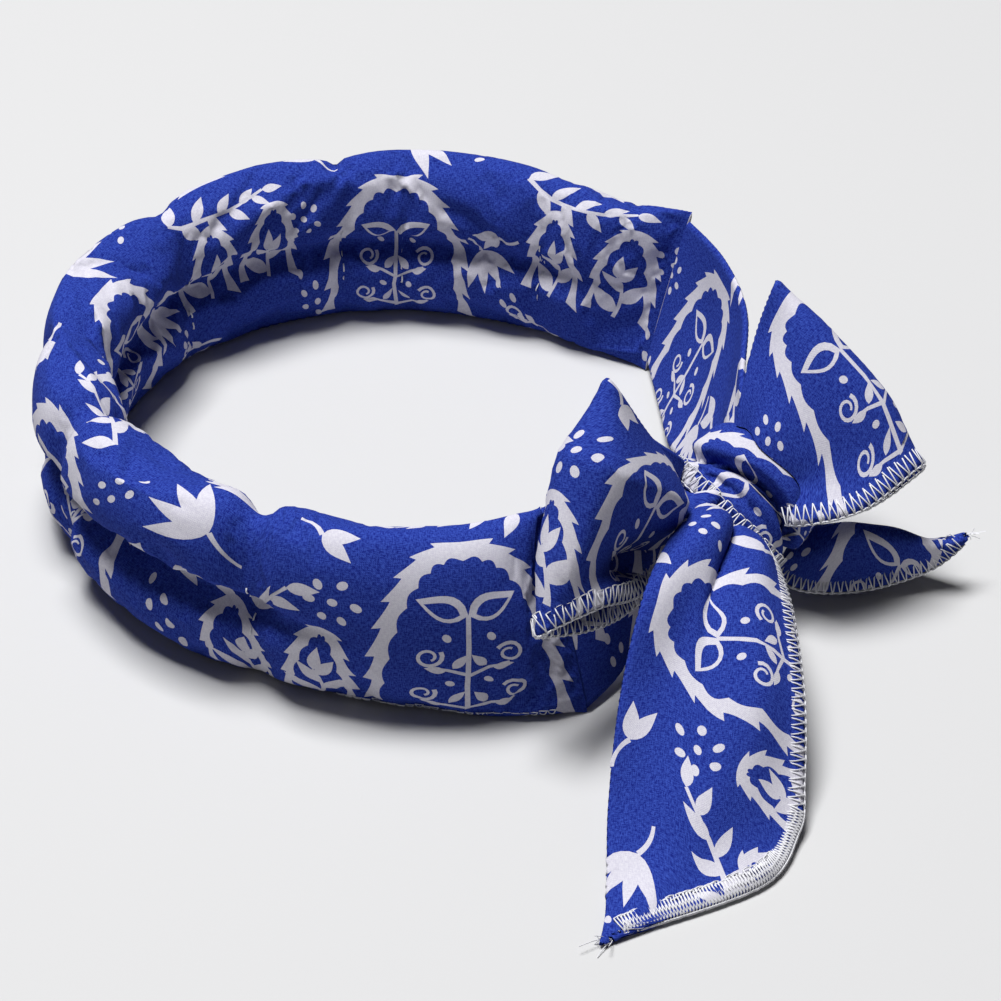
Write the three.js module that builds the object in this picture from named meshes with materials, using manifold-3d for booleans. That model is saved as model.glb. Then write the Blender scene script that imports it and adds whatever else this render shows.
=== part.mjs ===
// A padded dog bandana tied into a bow. Millimetres, +Z up, lying on the plane z = 0.
// The strip of cotton is sewn shut along one edge. Its middle is filled and bent into a ring,
// and its flat ends run to a knot beside the ring, where they make two loops and two tails.

import * as THREE from 'three';
import { mergeVertices } from 'three/addons/utils/BufferGeometryUtils.js';
import Module from 'manifold-3d';

const wasm = await Module();
wasm.setup();

// Driving sizes
const RING_RADIUS = 79;        // middle of the neck hole to the middle of the padding, in front
const BAND_HEIGHT = 49;        // padded band as it stands
const BAND_THICKNESS = 24;     // through the padding, at its fullest
const END_THICKNESS = 5;       // padded band where it is pressed flat, at its two ends
const CREASE_DEPTH = 4.5;      // groove between the upper and the lower roll
const CREASE_WIDTH = 0.13;     // of that groove, share of BAND_HEIGHT
const SEAM_PINCH = 6;          // how far a cross seam draws the padding in
const SOLE_WIDTH = 9;          // strip of the band that is pressed flat on the surface
const STRIP_WIDTH = 60;        // flat width of the unpadded strip
const CLOTH_THICKNESS = 2;     // the doubled cotton
const KNOT_REACH = 98;         // middle of the neck hole to the middle of the knot
const KNOT_BEARING = -24;      // degrees, seen from above, 0 along +X
const KNOT_HEIGHT = 28;        // middle of the knot above the surface
const KNOT_WIDTH = 36;         // along the sewn edge of the wrap
const KNOT_DEPTH = 25;         // front to back
const KNOT_LENGTH = 22;        // along the bundle that the wrap holds
const CLEARANCE = 0.3;         // air between pieces that touch

// How finely the pieces are divided
const BAND_STATIONS = 84;
const BAND_SIDES = 24;
const RIBBON_COLUMNS = 9;
const KNOT_SIDES = 24;

const COTTON = { color: 0x2f4fb4, roughness: 0.9, metalness: 0 };

// The padded band, from its front end round the left side to its back end.
// bearing: degrees; reach: share of RING_RADIUS; height: share of BAND_HEIGHT; full: of padding;
// lean: how far the top stands out beyond the bottom, share of BAND_THICKNESS;
// outer, inner: depth of the crease, share of CREASE_DEPTH; crease: its height, share of BAND_HEIGHT
const BAND_ROWS = [
  { bearing: -60, reach: 1.14, height: 0.98, full: 0, lean: -0.95, outer: 0, inner: 0, crease: 0.50 },
  { bearing: -66, reach: 1.12, height: 1, full: 0.64, lean: -0.6, outer: 0, inner: 0.2, crease: 0.50 },
  { bearing: -75, reach: 1.075, height: 1, full: 0.96, lean: -0.25, outer: 0, inner: 0.4, crease: 0.50 },
  { bearing: -90, reach: 1.01, height: 1, full: 1.02, lean: -0.05, outer: 0, inner: 0.5, crease: 0.50 },
  { bearing: -103, reach: 0.975, height: 1.02, full: 1.08, lean: 0, outer: 0.7, inner: 0.6, crease: 0.52 },
  { bearing: -112, reach: 0.96, height: 1.03, full: 1.1, lean: 0, outer: 1.1, inner: 0.7, crease: 0.52 },
  { bearing: -135, reach: 0.955, height: 1.04, full: 1.15, lean: 0, outer: 1, inner: 0.7, crease: 0.50 },
  { bearing: -157, reach: 0.965, height: 1.02, full: 1.12, lean: 0, outer: 1, inner: 0.8, crease: 0.48 },
  { bearing: -180, reach: 0.985, height: 1, full: 1, lean: 0, outer: 0.9, inner: 0.8, crease: 0.46 },
  { bearing: -205, reach: 1.015, height: 1, full: 0.94, lean: 0, outer: 0.7, inner: 1, crease: 0.50 },
  { bearing: -225, reach: 1.055, height: 0.98, full: 0.98, lean: 0, outer: 0.7, inner: 1.1, crease: 0.52 },
  { bearing: -250, reach: 1.06, height: 1, full: 0.94, lean: 0, outer: 0.7, inner: 1.1, crease: 0.54 },
  { bearing: -272, reach: 1.06, height: 1, full: 0.9, lean: 0, outer: 0.7, inner: 1.1, crease: 0.54 },
  { bearing: -296, reach: 1.08, height: 0.98, full: 0.9, lean: 0.1, outer: 0.6, inner: 0.9, crease: 0.52 },
  { bearing: -311, reach: 1.12, height: 0.94, full: 0.72, lean: 0.25, outer: 0.3, inner: 0.5, crease: 0.5 },
  { bearing: -323, reach: 1.195, height: 0.95, full: 0, lean: 0.6, outer: 0, inner: 0, crease: 0.5 },
];

// Cross seams, which draw the padding in.
// depth: share of SEAM_PINCH; dip: share of BAND_HEIGHT lost on top
const CROSS_SEAMS = [
  { bearing: -111, depth: 1.0, dip: 0.05 },
  { bearing: -157, depth: 0.9, dip: 0.05 },
  { bearing: -184, depth: 0.5, dip: 0.02 },
  { bearing: -225, depth: 0.9, dip: 0.04 },
  { bearing: -260, depth: 0.6, dip: 0.01 },
  { bearing: -272, depth: 0.5, dip: 0.01 },
  { bearing: -301, depth: 0.7, dip: 0.02 },
];
const SEAM_SPREAD = 5;         // degrees to either side that a cross seam reaches

// The strips of the bow. Each row crosses the strip from its fold edge to its sewn edge.
// Places are measured from the knot: x and y as shares of STRIP_WIDTH, z as a share of BAND_HEIGHT
// above the surface. ridge and valley: how far the cloth stands up at one third of its width and hangs in
// at two thirds, shares of STRIP_WIDTH
const LEFT_LOOP_ROWS = [
  { fold: [-0.06, 0.0, 0.78], sewn: [-0.14, -0.26, 0.60], ridge: 0.04, valley: 0.0 },
  { fold: [-0.27, -0.06, 0.86], sewn: [-0.43, -0.66, 0.62], ridge: 0.17, valley: 0.08 },
  { fold: [-0.40, -0.26, 1.18], sewn: [-0.61, -0.90, 0.78], ridge: 0.22, valley: 0.12 },
  { fold: [-0.55, -0.38, 1.54], sewn: [-0.83, -1.04, 0.76], ridge: 0.14, valley: -0.02 },
  { fold: [-0.57, -0.31, 1.50], sewn: [-0.82, -0.96, 0.66], ridge: 0.02, valley: -0.04 },
  { fold: [-0.42, -0.14, 1.12], sewn: [-0.64, -0.84, 0.58], ridge: -0.04, valley: -0.04 },
  { fold: [-0.24, -0.01, 0.84], sewn: [-0.46, -0.62, 0.50], ridge: -0.02, valley: -0.02 },
  { fold: [-0.03, 0.02, 0.70], sewn: [-0.10, -0.14, 0.52], ridge: 0.0, valley: 0.0 },
];

const RIGHT_LOOP_ROWS = [
  { fold: [-0.04, 0.04, 0.80], sewn: [0.10, -0.10, 0.52], ridge: 0.0, valley: 0.0 },
  { fold: [-0.01, 0.22, 1.02], sewn: [0.26, -0.22, 0.62], ridge: 0.06, valley: 0.02 },
  { fold: [0.05, 0.40, 1.24], sewn: [0.48, -0.18, 0.68], ridge: 0.08, valley: 0.03 },
  { fold: [0.12, 0.49, 1.46], sewn: [0.70, -0.02, 0.78], ridge: 0.04, valley: -0.04 },
  { fold: [0.14, 0.55, 1.38], sewn: [0.71, 0.06, 0.66], ridge: 0.0, valley: -0.05 },
  { fold: [0.14, 0.48, 1.16], sewn: [0.50, -0.06, 0.56], ridge: -0.03, valley: -0.03 },
  { fold: [0.08, 0.26, 0.90], sewn: [0.26, -0.06, 0.48], ridge: -0.02, valley: -0.02 },
  { fold: [0.02, 0.04, 0.70], sewn: [0.08, -0.02, 0.42], ridge: 0.0, valley: 0.0 },
];

const RIGHT_TAIL_ROWS = [
  { fold: [0.02, 0.04, 0.50], sewn: [0.02, -0.08, 0.30], ridge: 0.0, valley: 0.0 },
  { fold: [0.20, 0.16, 0.26], sewn: [0.20, -0.14, 0.14], ridge: 0.06, valley: -0.10 },
  { fold: [0.40, 0.20, 0.14], sewn: [0.40, -0.12, 0.08], ridge: 0.09, valley: -0.18 },
  { fold: [0.62, 0.15, 0.13], sewn: [0.62, -0.08, 0.09], ridge: 0.09, valley: -0.16 },
  { fold: [0.80, 0.09, 0.20], sewn: [0.82, -0.02, 0.15], ridge: 0.06, valley: -0.09 },
  { fold: [0.94, 0.02, 0.33], sewn: [0.945, 0.0, 0.30], ridge: 0.0, valley: 0.0 },
];

const FRONT_TAIL_ROWS = [
  { fold: [-0.10, -0.08, 0.70], sewn: [0.10, -0.06, 0.44], ridge: 0.0, valley: 0.0 },
  { fold: [-0.27, -0.40, 0.80], sewn: [0.13, -0.42, 0.50], ridge: 0.02, valley: -0.06 },
  { fold: [-0.44, -0.86, 0.84], sewn: [0.16, -0.72, 0.52], ridge: -0.06, valley: -0.08 },
  { fold: [-0.54, -1.18, 0.54], sewn: [0.18, -1.08, 0.40], ridge: -0.04, valley: -0.10 },
  { fold: [-0.59, -1.50, 0.20], sewn: [0.17, -1.36, 0.17], ridge: 0.06, valley: -0.06 },
  { fold: [-0.60, -1.78, 0.06], sewn: [0.14, -1.54, 0.06], ridge: 0.05, valley: -0.03 },
  { fold: [-0.61, -1.97, 0.03], sewn: [-0.02, -1.80, 0.03], ridge: 0.02, valley: -0.01 },
  { fold: [-0.63, -2.10, 0.025], sewn: [-0.55, -2.05, 0.025], ridge: 0.0, valley: 0.0 },
];

// The flat ends between the padding and the knot. along: share of the way to the knot;
// low, high: heights of the sewn and the fold edge as shares of BAND_HEIGHT; lowOut, highOut: how far each
// edge stands out from the straight line to the knot; bow: how far the middle of the strip stands out;
// these three are shares of STRIP_WIDTH
const FRONT_LEAD_ROWS = [
  { along: -0.015, low: 0.06, high: 0.93, lowOut: 0.0, highOut: 0.0, bow: 0.0 },
  { along: 0.25, low: 0.07, high: 0.95, lowOut: 0.0, highOut: -0.04, bow: 0.03 },
  { along: 0.6, low: 0.20, high: 0.80, lowOut: -0.06, highOut: -0.12, bow: 0.02 },
  { along: 1.0, low: 0.34, high: 0.58, lowOut: -0.10, highOut: -0.12, bow: 0.0 },
];

const BACK_LEAD_ROWS = [
  { along: -0.015, low: 0.06, high: 0.89, lowOut: 0.0, highOut: 0.0, bow: 0.0 },
  { along: 0.25, low: 0.06, high: 0.97, lowOut: -0.04, highOut: 0.08, bow: 0.04 },
  { along: 0.5, low: 0.16, high: 0.97, lowOut: -0.10, highOut: 0.12, bow: 0.04 },
  { along: 0.75, low: 0.34, high: 0.90, lowOut: -0.08, highOut: 0.05, bow: 0.02 },
  { along: 1.0, low: 0.46, high: 0.78, lowOut: 0.0, highOut: 0.0, bow: 0.0 },
];

const radians = THREE.MathUtils.degToRad;
const lerp = THREE.MathUtils.lerp;

function aroundRing(bearing, reach, z) {
  const a = radians(bearing);
  return new THREE.Vector3(reach * Math.cos(a), reach * Math.sin(a), z);
}

const KNOT = aroundRing(KNOT_BEARING, KNOT_REACH, KNOT_HEIGHT);

// Reads a table as if its rows lay on smooth curves; t runs from 0 to 1 over the whole table
function smoothRow(rows, t, name) {
  const place = t * (rows.length - 1);
  const i = Math.min(Math.floor(place), rows.length - 2);
  const f = place - i;
  const value = (k) => rows[THREE.MathUtils.clamp(k, 0, rows.length - 1)][name];
  const [a, b, c, d] = [value(i - 1), value(i), value(i + 1), value(i + 2)];
  const curve = (p, q, r, s) =>
    0.5 * (2 * q + (r - p) * f + (2 * p - 5 * q + 4 * r - s) * f * f + (3 * q - p - 3 * r + s) * f * f * f);
  return Array.isArray(b) ? b.map((_, k) => curve(a[k], b[k], c[k], d[k])) : curve(a, b, c, d);
}

// A closed body through rings of points, each ring with the same number of points; the ends are flat fans
function loft(rings) {
  const n = rings[0].length;
  const points = rings.flat();
  const faces = [];
  for (let i = 0; i < rings.length - 1; i++) {
    for (let j = 0; j < n; j++) {
      const a = i * n + j;
      const b = i * n + ((j + 1) % n);
      faces.push(a, b, a + n, b, b + n, a + n);
    }
  }
  const middle = (ring) => ring.reduce((s, p) => s.add(p), new THREE.Vector3()).divideScalar(n);
  const first = points.push(middle(rings[0])) - 1;
  const last = points.push(middle(rings[rings.length - 1])) - 1;
  const end = (rings.length - 1) * n;
  for (let j = 0; j < n; j++) {
    const k = (j + 1) % n;
    faces.push(first, k, j, last, end + j, end + k);
  }
  return bodyFrom(points, faces);
}

function bodyFrom(points, faces) {
  const geometry = new THREE.BufferGeometry().setFromPoints(points);
  geometry.setIndex(faces);
  return facingOut(geometry);
}

// Turns every face round if the body is inside out
function facingOut(geometry) {
  const index = geometry.index.array;
  const p = geometry.attributes.position;
  const [a, b, c] = [new THREE.Vector3(), new THREE.Vector3(), new THREE.Vector3()];
  let volume = 0;
  for (let i = 0; i < index.length; i += 3) {
    a.fromBufferAttribute(p, index[i]);
    b.fromBufferAttribute(p, index[i + 1]);
    c.fromBufferAttribute(p, index[i + 2]);
    volume += a.dot(b.cross(c));
  }
  if (volume < 0) {
    for (let i = 0; i < index.length; i += 3) {
      [index[i + 1], index[i + 2]] = [index[i + 2], index[i + 1]];
    }
  }
  return geometry;
}

// How strongly the cross seams pull at a bearing
function seamPull(bearing, name) {
  return CROSS_SEAMS.reduce((sum, seam) => {
    const away = (bearing - seam.bearing) / SEAM_SPREAD;
    return sum + seam[name] * Math.exp(-away * away);
  }, 0);
}

// One section of the padded band: a two-roll oval that stands on a flat sole.
// growth makes the room that it needs.
function bandSection(t, growth) {
  const row = (name) => smoothRow(BAND_ROWS, t, name);
  const endward = t === 0 ? 1 : t === 1 ? -1 : 0;
  const bearing = row('bearing') + endward * THREE.MathUtils.radToDeg(growth / RING_RADIUS);
  const height = BAND_HEIGHT * (row('height') - seamPull(bearing, 'dip'));
  const fullness = Math.max(row('full'), 0);
  const padding = fullness * (BAND_THICKNESS - END_THICKNESS - SEAM_PINCH * seamPull(bearing, 'depth'));
  const half = (END_THICKNESS + padding) / 2 + growth;
  const ring = [];
  for (let j = 0; j < BAND_SIDES; j++) {
    const turn = (2 * Math.PI * j) / BAND_SIDES;
    const rise = Math.sign(Math.sin(turn)) * Math.pow(Math.abs(Math.sin(turn)), 0.9);
    const share = (1 + rise) / 2;
    const side = Math.sign(Math.cos(turn)) * Math.pow(Math.abs(Math.cos(turn)), 0.85);
    const away = (share - row('crease')) / CREASE_WIDTH;
    const depth = CREASE_DEPTH * (side > 0 ? row('outer') : row('inner')) * fullness;
    const groove = depth * Math.exp(-away * away) * Math.abs(side);
    const across = side * half - Math.sign(side) * Math.min(groove, 0.7 * half);
    const lean = BAND_THICKNESS * row('lean') * (share - 0.5);
    const z = share * (height + 2 * growth) - growth;
    ring.push(aroundRing(bearing, RING_RADIUS * row('reach') + across + lean, z));
  }
  return flattenSole(ring, bearing, half, growth);
}

// The lowest points of a section are spread over the width of the sole, all at one height
function flattenSole(ring, bearing, half, growth) {
  const sole = Math.min(SOLE_WIDTH, half) / 2 + growth;
  const middle = ring[Math.round(0.75 * BAND_SIDES)];
  const reach = Math.hypot(middle.x, middle.y);
  for (const [offset, k] of [[-1, -1], [0, 0], [1, 1]]) {
    const j = Math.round(0.75 * BAND_SIDES) + k;
    ring[j] = aroundRing(bearing, reach + offset * sole, -growth);
  }
  return ring;
}

function neckBand(growth) {
  const rings = [];
  for (let i = 0; i <= BAND_STATIONS; i++) {
    rings.push(bandSection(i / BAND_STATIONS, growth));
  }
  return loft(rings);
}

// Cloth of even thickness on a grid of points: rows run along the strip, columns across it
function cloth(grid, thickness) {
  const rows = grid.length;
  const columns = grid[0].length;
  const clamp = THREE.MathUtils.clamp;
  const at = (i, j) => grid[clamp(i, 0, rows - 1)][clamp(j, 0, columns - 1)];
  const front = [];
  const back = [];
  for (let i = 0; i < rows; i++) {
    for (let j = 0; j < columns; j++) {
      const along = at(i + 1, j).clone().sub(at(i - 1, j));
      const across = at(i, j + 1).clone().sub(at(i, j - 1));
      const normal = along.cross(across).normalize().multiplyScalar(thickness / 2);
      front.push(grid[i][j].clone().add(normal));
      back.push(grid[i][j].clone().sub(normal));
    }
  }
  const faces = [];
  const below = front.length;
  const quad = (a, b, c, d) => faces.push(a, b, c, a, c, d);
  const id = (i, j) => i * columns + j;
  for (let i = 0; i < rows - 1; i++) {
    for (let j = 0; j < columns - 1; j++) {
      quad(id(i, j), id(i + 1, j), id(i + 1, j + 1), id(i, j + 1));
      quad(below + id(i, j), below + id(i, j + 1), below + id(i + 1, j + 1), below + id(i + 1, j));
    }
    quad(id(i, 0), below + id(i, 0), below + id(i + 1, 0), id(i + 1, 0));
    const e = columns - 1;
    quad(id(i, e), id(i + 1, e), below + id(i + 1, e), below + id(i, e));
  }
  for (let j = 0; j < columns - 1; j++) {
    quad(id(0, j), id(0, j + 1), below + id(0, j + 1), below + id(0, j));
    const e = rows - 1;
    quad(id(e, j), below + id(e, j), below + id(e, j + 1), id(e, j + 1));
  }
  return bodyFrom(front.concat(back), faces);
}

// A place in the bow, from its shares
function bowPlace([x, y, z]) {
  return new THREE.Vector3(KNOT.x + STRIP_WIDTH * x, KNOT.y + STRIP_WIDTH * y, BAND_HEIGHT * z);
}

// A bump over the width of the strip, 1 at its peak and 0 at both edges
function bump(v, peak) {
  const share = v < peak ? v / peak : (1 - v) / (1 - peak);
  return Math.sin((Math.PI / 2) * share) ** 2;
}

// Grid of a strip of the bow, from its table; face is 1 or -1, the side on which ridges stand out
function bowGrid(rows, face, steps) {
  const grid = [];
  for (let i = 0; i <= steps; i++) {
    const t = i / steps;
    const fold = bowPlace(smoothRow(rows, t, 'fold'));
    const sewn = bowPlace(smoothRow(rows, t, 'sewn'));
    const step = 0.5 / steps;
    const before = bowPlace(smoothRow(rows, Math.max(t - step, 0), 'fold')).add(
      bowPlace(smoothRow(rows, Math.max(t - step, 0), 'sewn')));
    const after = bowPlace(smoothRow(rows, Math.min(t + step, 1), 'fold')).add(
      bowPlace(smoothRow(rows, Math.min(t + step, 1), 'sewn')));
    const out = after.sub(before).cross(sewn.clone().sub(fold)).normalize().multiplyScalar(face);
    const ridge = STRIP_WIDTH * smoothRow(rows, t, 'ridge');
    const valley = STRIP_WIDTH * smoothRow(rows, t, 'valley');
    const line = [];
    for (let j = 0; j < RIBBON_COLUMNS; j++) {
      const v = j / (RIBBON_COLUMNS - 1);
      const lift = ridge * bump(v, 1 / 3) - valley * bump(v, 2 / 3);
      line.push(fold.clone().lerp(sewn, v).addScaledVector(out, lift));
    }
    grid.push(line);
  }
  return grid;
}

// Grid of a flat end between the padding and the knot
function leadGrid(rows, bandEnd, steps) {
  const start = aroundRing(bandEnd.bearing, RING_RADIUS * bandEnd.reach, 0);
  const outward = aroundRing(bandEnd.bearing, BAND_THICKNESS * bandEnd.lean, 0);
  const end = new THREE.Vector3(KNOT.x, KNOT.y, 0);
  const way = end.clone().sub(start);
  const out = new THREE.Vector3(way.y, -way.x, 0).normalize();
  if (out.dot(start) < 0) out.negate();
  const grid = [];
  for (let i = 0; i <= steps; i++) {
    const row = (name) => smoothRow(rows, i / steps, name);
    const line = [];
    for (let j = 0; j < RIBBON_COLUMNS; j++) {
      const v = j / (RIBBON_COLUMNS - 1);
      const edges = lerp(row('highOut'), row('lowOut'), v);
      const side = STRIP_WIDTH * (edges + row('bow') * Math.sin(Math.PI * v));
      const point = start.clone().addScaledVector(way, row('along')).addScaledVector(out, side);
      point.z = BAND_HEIGHT * lerp(row('high'), row('low'), v);
      const share = point.z / (BAND_HEIGHT * bandEnd.height);
      point.addScaledVector(outward, (share - 0.5) * (1 - row('along')));
      line.push(point);
    }
    grid.push(line);
  }
  return grid;
}

// The knot: an oval bundle whose wrap has a rounded belly and a fold, turned as it lies
function knot(growth) {
  const axis = new THREE.Vector3(0.71, 0.43, 0.55).normalize();
  const wide = new THREE.Vector3(0.707, -0.435, -0.557);
  wide.addScaledVector(axis, -wide.dot(axis)).normalize();
  const deep = axis.clone().cross(wide);
  const profile = [
    { along: -0.6, size: 0.62 }, { along: -0.54, size: 0.82 }, { along: -0.38, size: 0.95 },
    { along: -0.15, size: 1.0 }, { along: 0.02, size: 0.96 }, { along: 0.18, size: 0.95 },
    { along: 0.32, size: 0.80 }, { along: 0.4, size: 0.56 },
  ];
  const rings = profile.map(({ along, size }) => {
    const ring = [];
    for (let j = 0; j < KNOT_SIDES; j++) {
      const a = (2 * Math.PI * j) / KNOT_SIDES;
      const w = (size * KNOT_WIDTH / 2 + growth) * Math.cos(a);
      const d = (size * KNOT_DEPTH / 2 + growth) * Math.sin(a);
      const s = along * (KNOT_LENGTH + 2 * growth);
      ring.push(KNOT.clone().addScaledVector(axis, s).addScaledVector(wide, w).addScaledVector(deep, d));
    }
    return ring;
  });
  return loft(rings);
}

function toSolid(geometry) {
  const merged = geometry.clone();
  merged.deleteAttribute('normal');
  merged.deleteAttribute('uv');
  const welded = mergeVertices(merged, 1e-4);
  return new wasm.Manifold(new wasm.Mesh({
    numProp: 3,
    vertProperties: Float32Array.from(welded.attributes.position.array),
    triVerts: Uint32Array.from(welded.index.array),
  }));
}

function toGeometry(solid) {
  const mesh = solid.getMesh();
  const geometry = new THREE.BufferGeometry();
  geometry.setAttribute('position', new THREE.BufferAttribute(Float32Array.from(mesh.vertProperties), 3));
  geometry.setIndex(Array.from(mesh.triVerts));
  return geometry;
}

// What is left of a piece outside its neighbours
function trimmed(geometry, neighbours) {
  const solid = neighbours.reduce((rest, n) => rest.subtract(toSolid(n)), toSolid(geometry));
  const parts = solid.decompose().sort((a, b) => b.volume() - a.volume());
  return toGeometry(parts[0]);
}

// The grid of a strip with its edges moved out, for the room that the strip needs
function widened(grid, growth) {
  const last = grid[0].length - 1;
  return grid.map((line) => line.map((point, j) => {
    if (j > 0 && j < last) return point;
    const inner = line[j === 0 ? 1 : last - 1];
    return point.clone().addScaledVector(point.clone().sub(inner).normalize(), growth);
  }));
}

function clothRoom(grid) {
  return cloth(widened(grid, CLEARANCE), CLOTH_THICKNESS + 2 * CLEARANCE);
}

const bandana = new THREE.Group();

function addPiece(name, geometry) {
  const mesh = new THREE.Mesh(geometry, new THREE.MeshStandardMaterial(COTTON));
  mesh.name = name;
  bandana.add(mesh);
}

// The padding and the knot keep their full shape, and the cloth stops at them.
// Near the knot the tail lies over the loop, and both lie over the lead.
const bandRoom = neckBand(CLEARANCE);
const knotRoom = knot(CLEARANCE);
const frontTail = bowGrid(FRONT_TAIL_ROWS, 1, 32);
const leftLoop = bowGrid(LEFT_LOOP_ROWS, 1, 42);
const rightLoop = bowGrid(RIGHT_LOOP_ROWS, -1, 42);
const rightTail = bowGrid(RIGHT_TAIL_ROWS, -1, 20);
const frontLead = leadGrid(FRONT_LEAD_ROWS, BAND_ROWS[0], 14);
const backLead = leadGrid(BACK_LEAD_ROWS, BAND_ROWS[BAND_ROWS.length - 1], 20);

function addCloth(name, grid, neighbours) {
  addPiece(name, trimmed(cloth(grid, CLOTH_THICKNESS), [knotRoom, ...neighbours]));
}

addPiece('neck_band', neckBand(0));
addPiece('knot_wrap', knot(0));
addCloth('front_tail', frontTail, []);
addCloth('left_loop', leftLoop, [bandRoom, clothRoom(frontTail)]);
addCloth('right_loop', rightLoop, []);
addCloth('right_tail', rightTail, []);
addCloth('front_lead', frontLead, [bandRoom, clothRoom(leftLoop), clothRoom(frontTail)]);
addCloth('back_lead', backLead, [bandRoom]);

// The origin is under the middle of the whole piece
const box = new THREE.Box3().setFromObject(bandana);
const centre = box.getCenter(new THREE.Vector3());
bandana.position.set(-centre.x, -centre.y, -box.min.z);

export default bandana;
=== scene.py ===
# %% [markdown]
# # A padded dog bandana, dressed in printed cotton
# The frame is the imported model: plain solids for the padded ring, the two flat ends, the knot, two loops and
# two tails. Each gets a skin of cloth here, in metres and in the same place, and stands for its solid.
# The whole bandana is one long strip of cotton, so all pieces are made the same way: a grid of points that
# says where the cloth lies, and a flat piece of printed cotton that is laid on the grid.

import math

import bmesh
import bpy
import numpy as np
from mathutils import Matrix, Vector, geometry


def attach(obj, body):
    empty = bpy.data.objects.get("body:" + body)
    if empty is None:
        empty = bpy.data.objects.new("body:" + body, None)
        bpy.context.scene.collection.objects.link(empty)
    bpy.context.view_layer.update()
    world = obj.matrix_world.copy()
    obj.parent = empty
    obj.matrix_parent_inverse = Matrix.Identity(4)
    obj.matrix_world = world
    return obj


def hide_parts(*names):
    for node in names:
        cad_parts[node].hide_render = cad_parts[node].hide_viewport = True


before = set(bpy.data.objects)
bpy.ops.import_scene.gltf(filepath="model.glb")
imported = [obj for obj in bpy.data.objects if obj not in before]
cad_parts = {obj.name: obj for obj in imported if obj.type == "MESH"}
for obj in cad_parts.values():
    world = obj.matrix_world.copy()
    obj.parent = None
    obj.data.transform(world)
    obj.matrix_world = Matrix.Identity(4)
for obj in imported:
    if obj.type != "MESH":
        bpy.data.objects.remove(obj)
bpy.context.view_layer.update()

# %% [markdown]
# ## Named sizes
# They are the part's own sizes, in millimetres. Places are measured from the middle of the neck hole, and
# RING_CENTRE says where that is in the frame. Cloth is easier to think of in millimetres, and the last step
# of every piece turns them into metres.

# %% Named sizes
RING_CENTRE = np.array([-29.1, 36.3, 0.0])
RING_RADIUS = 79.0
BAND_HEIGHT = 49.0
BAND_THICKNESS = 24.0
END_THICKNESS = 2.2
SEAM_PINCH = 6.0
STRIP_WIDTH = 60.0
CLOTH = 1.7
SERGED = 4.4
KNOT_REACH, KNOT_BEARING, KNOT_HEIGHT = 98.0, math.radians(-24), 28.0
KNOT = np.array([KNOT_REACH * math.cos(KNOT_BEARING), KNOT_REACH * math.sin(KNOT_BEARING), KNOT_HEIGHT])
# The least height above the floor of the band's cloth, the strips, the loose fibres and the stitches.
BAND_FOOT, STRIP_FOOT, FIBRE_FOOT, STITCH_FOOT = 0.35, 0.3, 0.25, 0.1


# %% Tables and lines
def table(columns, rows):
    return [dict(zip(columns, row)) for row in rows]


def smooth_row(rows, t, name):
    """A table's column read at t, 0 to 1, as if its rows lay on smooth curves; t may be an array."""
    values = np.array([r[name] for r in rows], float)
    place = np.clip(np.asarray(t, float), 0, 1) * (len(rows) - 1)
    i = np.minimum(place.astype(int), len(rows) - 2)
    f = place - i
    if values.ndim > 1:
        f = f[..., None]
    a, b, c, d = (values[np.clip(i + k, 0, len(rows) - 1)] for k in (-1, 0, 1, 2))
    return 0.5 * (2 * b + (c - a) * f + (2 * a - 5 * b + 4 * c - d) * f**2 + (3 * b - a - 3 * c + d) * f**3)


def unit(v):
    return v / np.maximum(np.linalg.norm(v, axis=-1, keepdims=True), 1e-9)


def gauss(x):
    return np.exp(-np.square(x))


def run(points):
    """How far along each point of a line is; the first axis runs along it."""
    steps = np.linalg.norm(np.diff(points, axis=0), axis=-1)
    return np.concatenate([points[:1, ..., 0] * 0, np.cumsum(steps, 0)])


def read_line(points, far, at):
    """The places at distances at on a line whose points lie at distances far."""
    return np.stack([np.interp(at, far, points[:, k]) for k in range(3)], 1)


def evened(values):
    """Numbers along a line, each averaged with the six on either side."""
    return np.convolve(np.pad(values, 6, mode="edge"), np.full(13, 1 / 13), mode="valid")


def tube_faces(rows, columns):
    """Faces of a grid of points that closes on itself the short way, with one more over each end."""
    faces = [(i * columns + j, i * columns + (j + 1) % columns,
              (i + 1) * columns + (j + 1) % columns, (i + 1) * columns + j)
             for i in range(rows - 1) for j in range(columns)]
    return faces + [tuple(range(columns))[::-1], tuple((rows - 1) * columns + j for j in range(columns))]


# %% Adding to the scene
def to_metres(points):
    """Places in millimetres from the middle of the neck hole, as lists of metres in the frame."""
    return ((points + RING_CENTRE) / 1000).tolist()


def add_object(name, data):
    made = bpy.data.objects.new(name, data)
    bpy.context.scene.collection.objects.link(made)
    return made


# %% [markdown]
# ## Cloth that lies on a grid
# A sleeve is a grid of points: rows along the strip, columns once round it, from the sewn edge over the front,
# over the fold and back along the inside. Reading between the points with smooth curves gives any place on the
# cloth, and its normal, so the printed cotton can be cut finely without a heavy grid.


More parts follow.
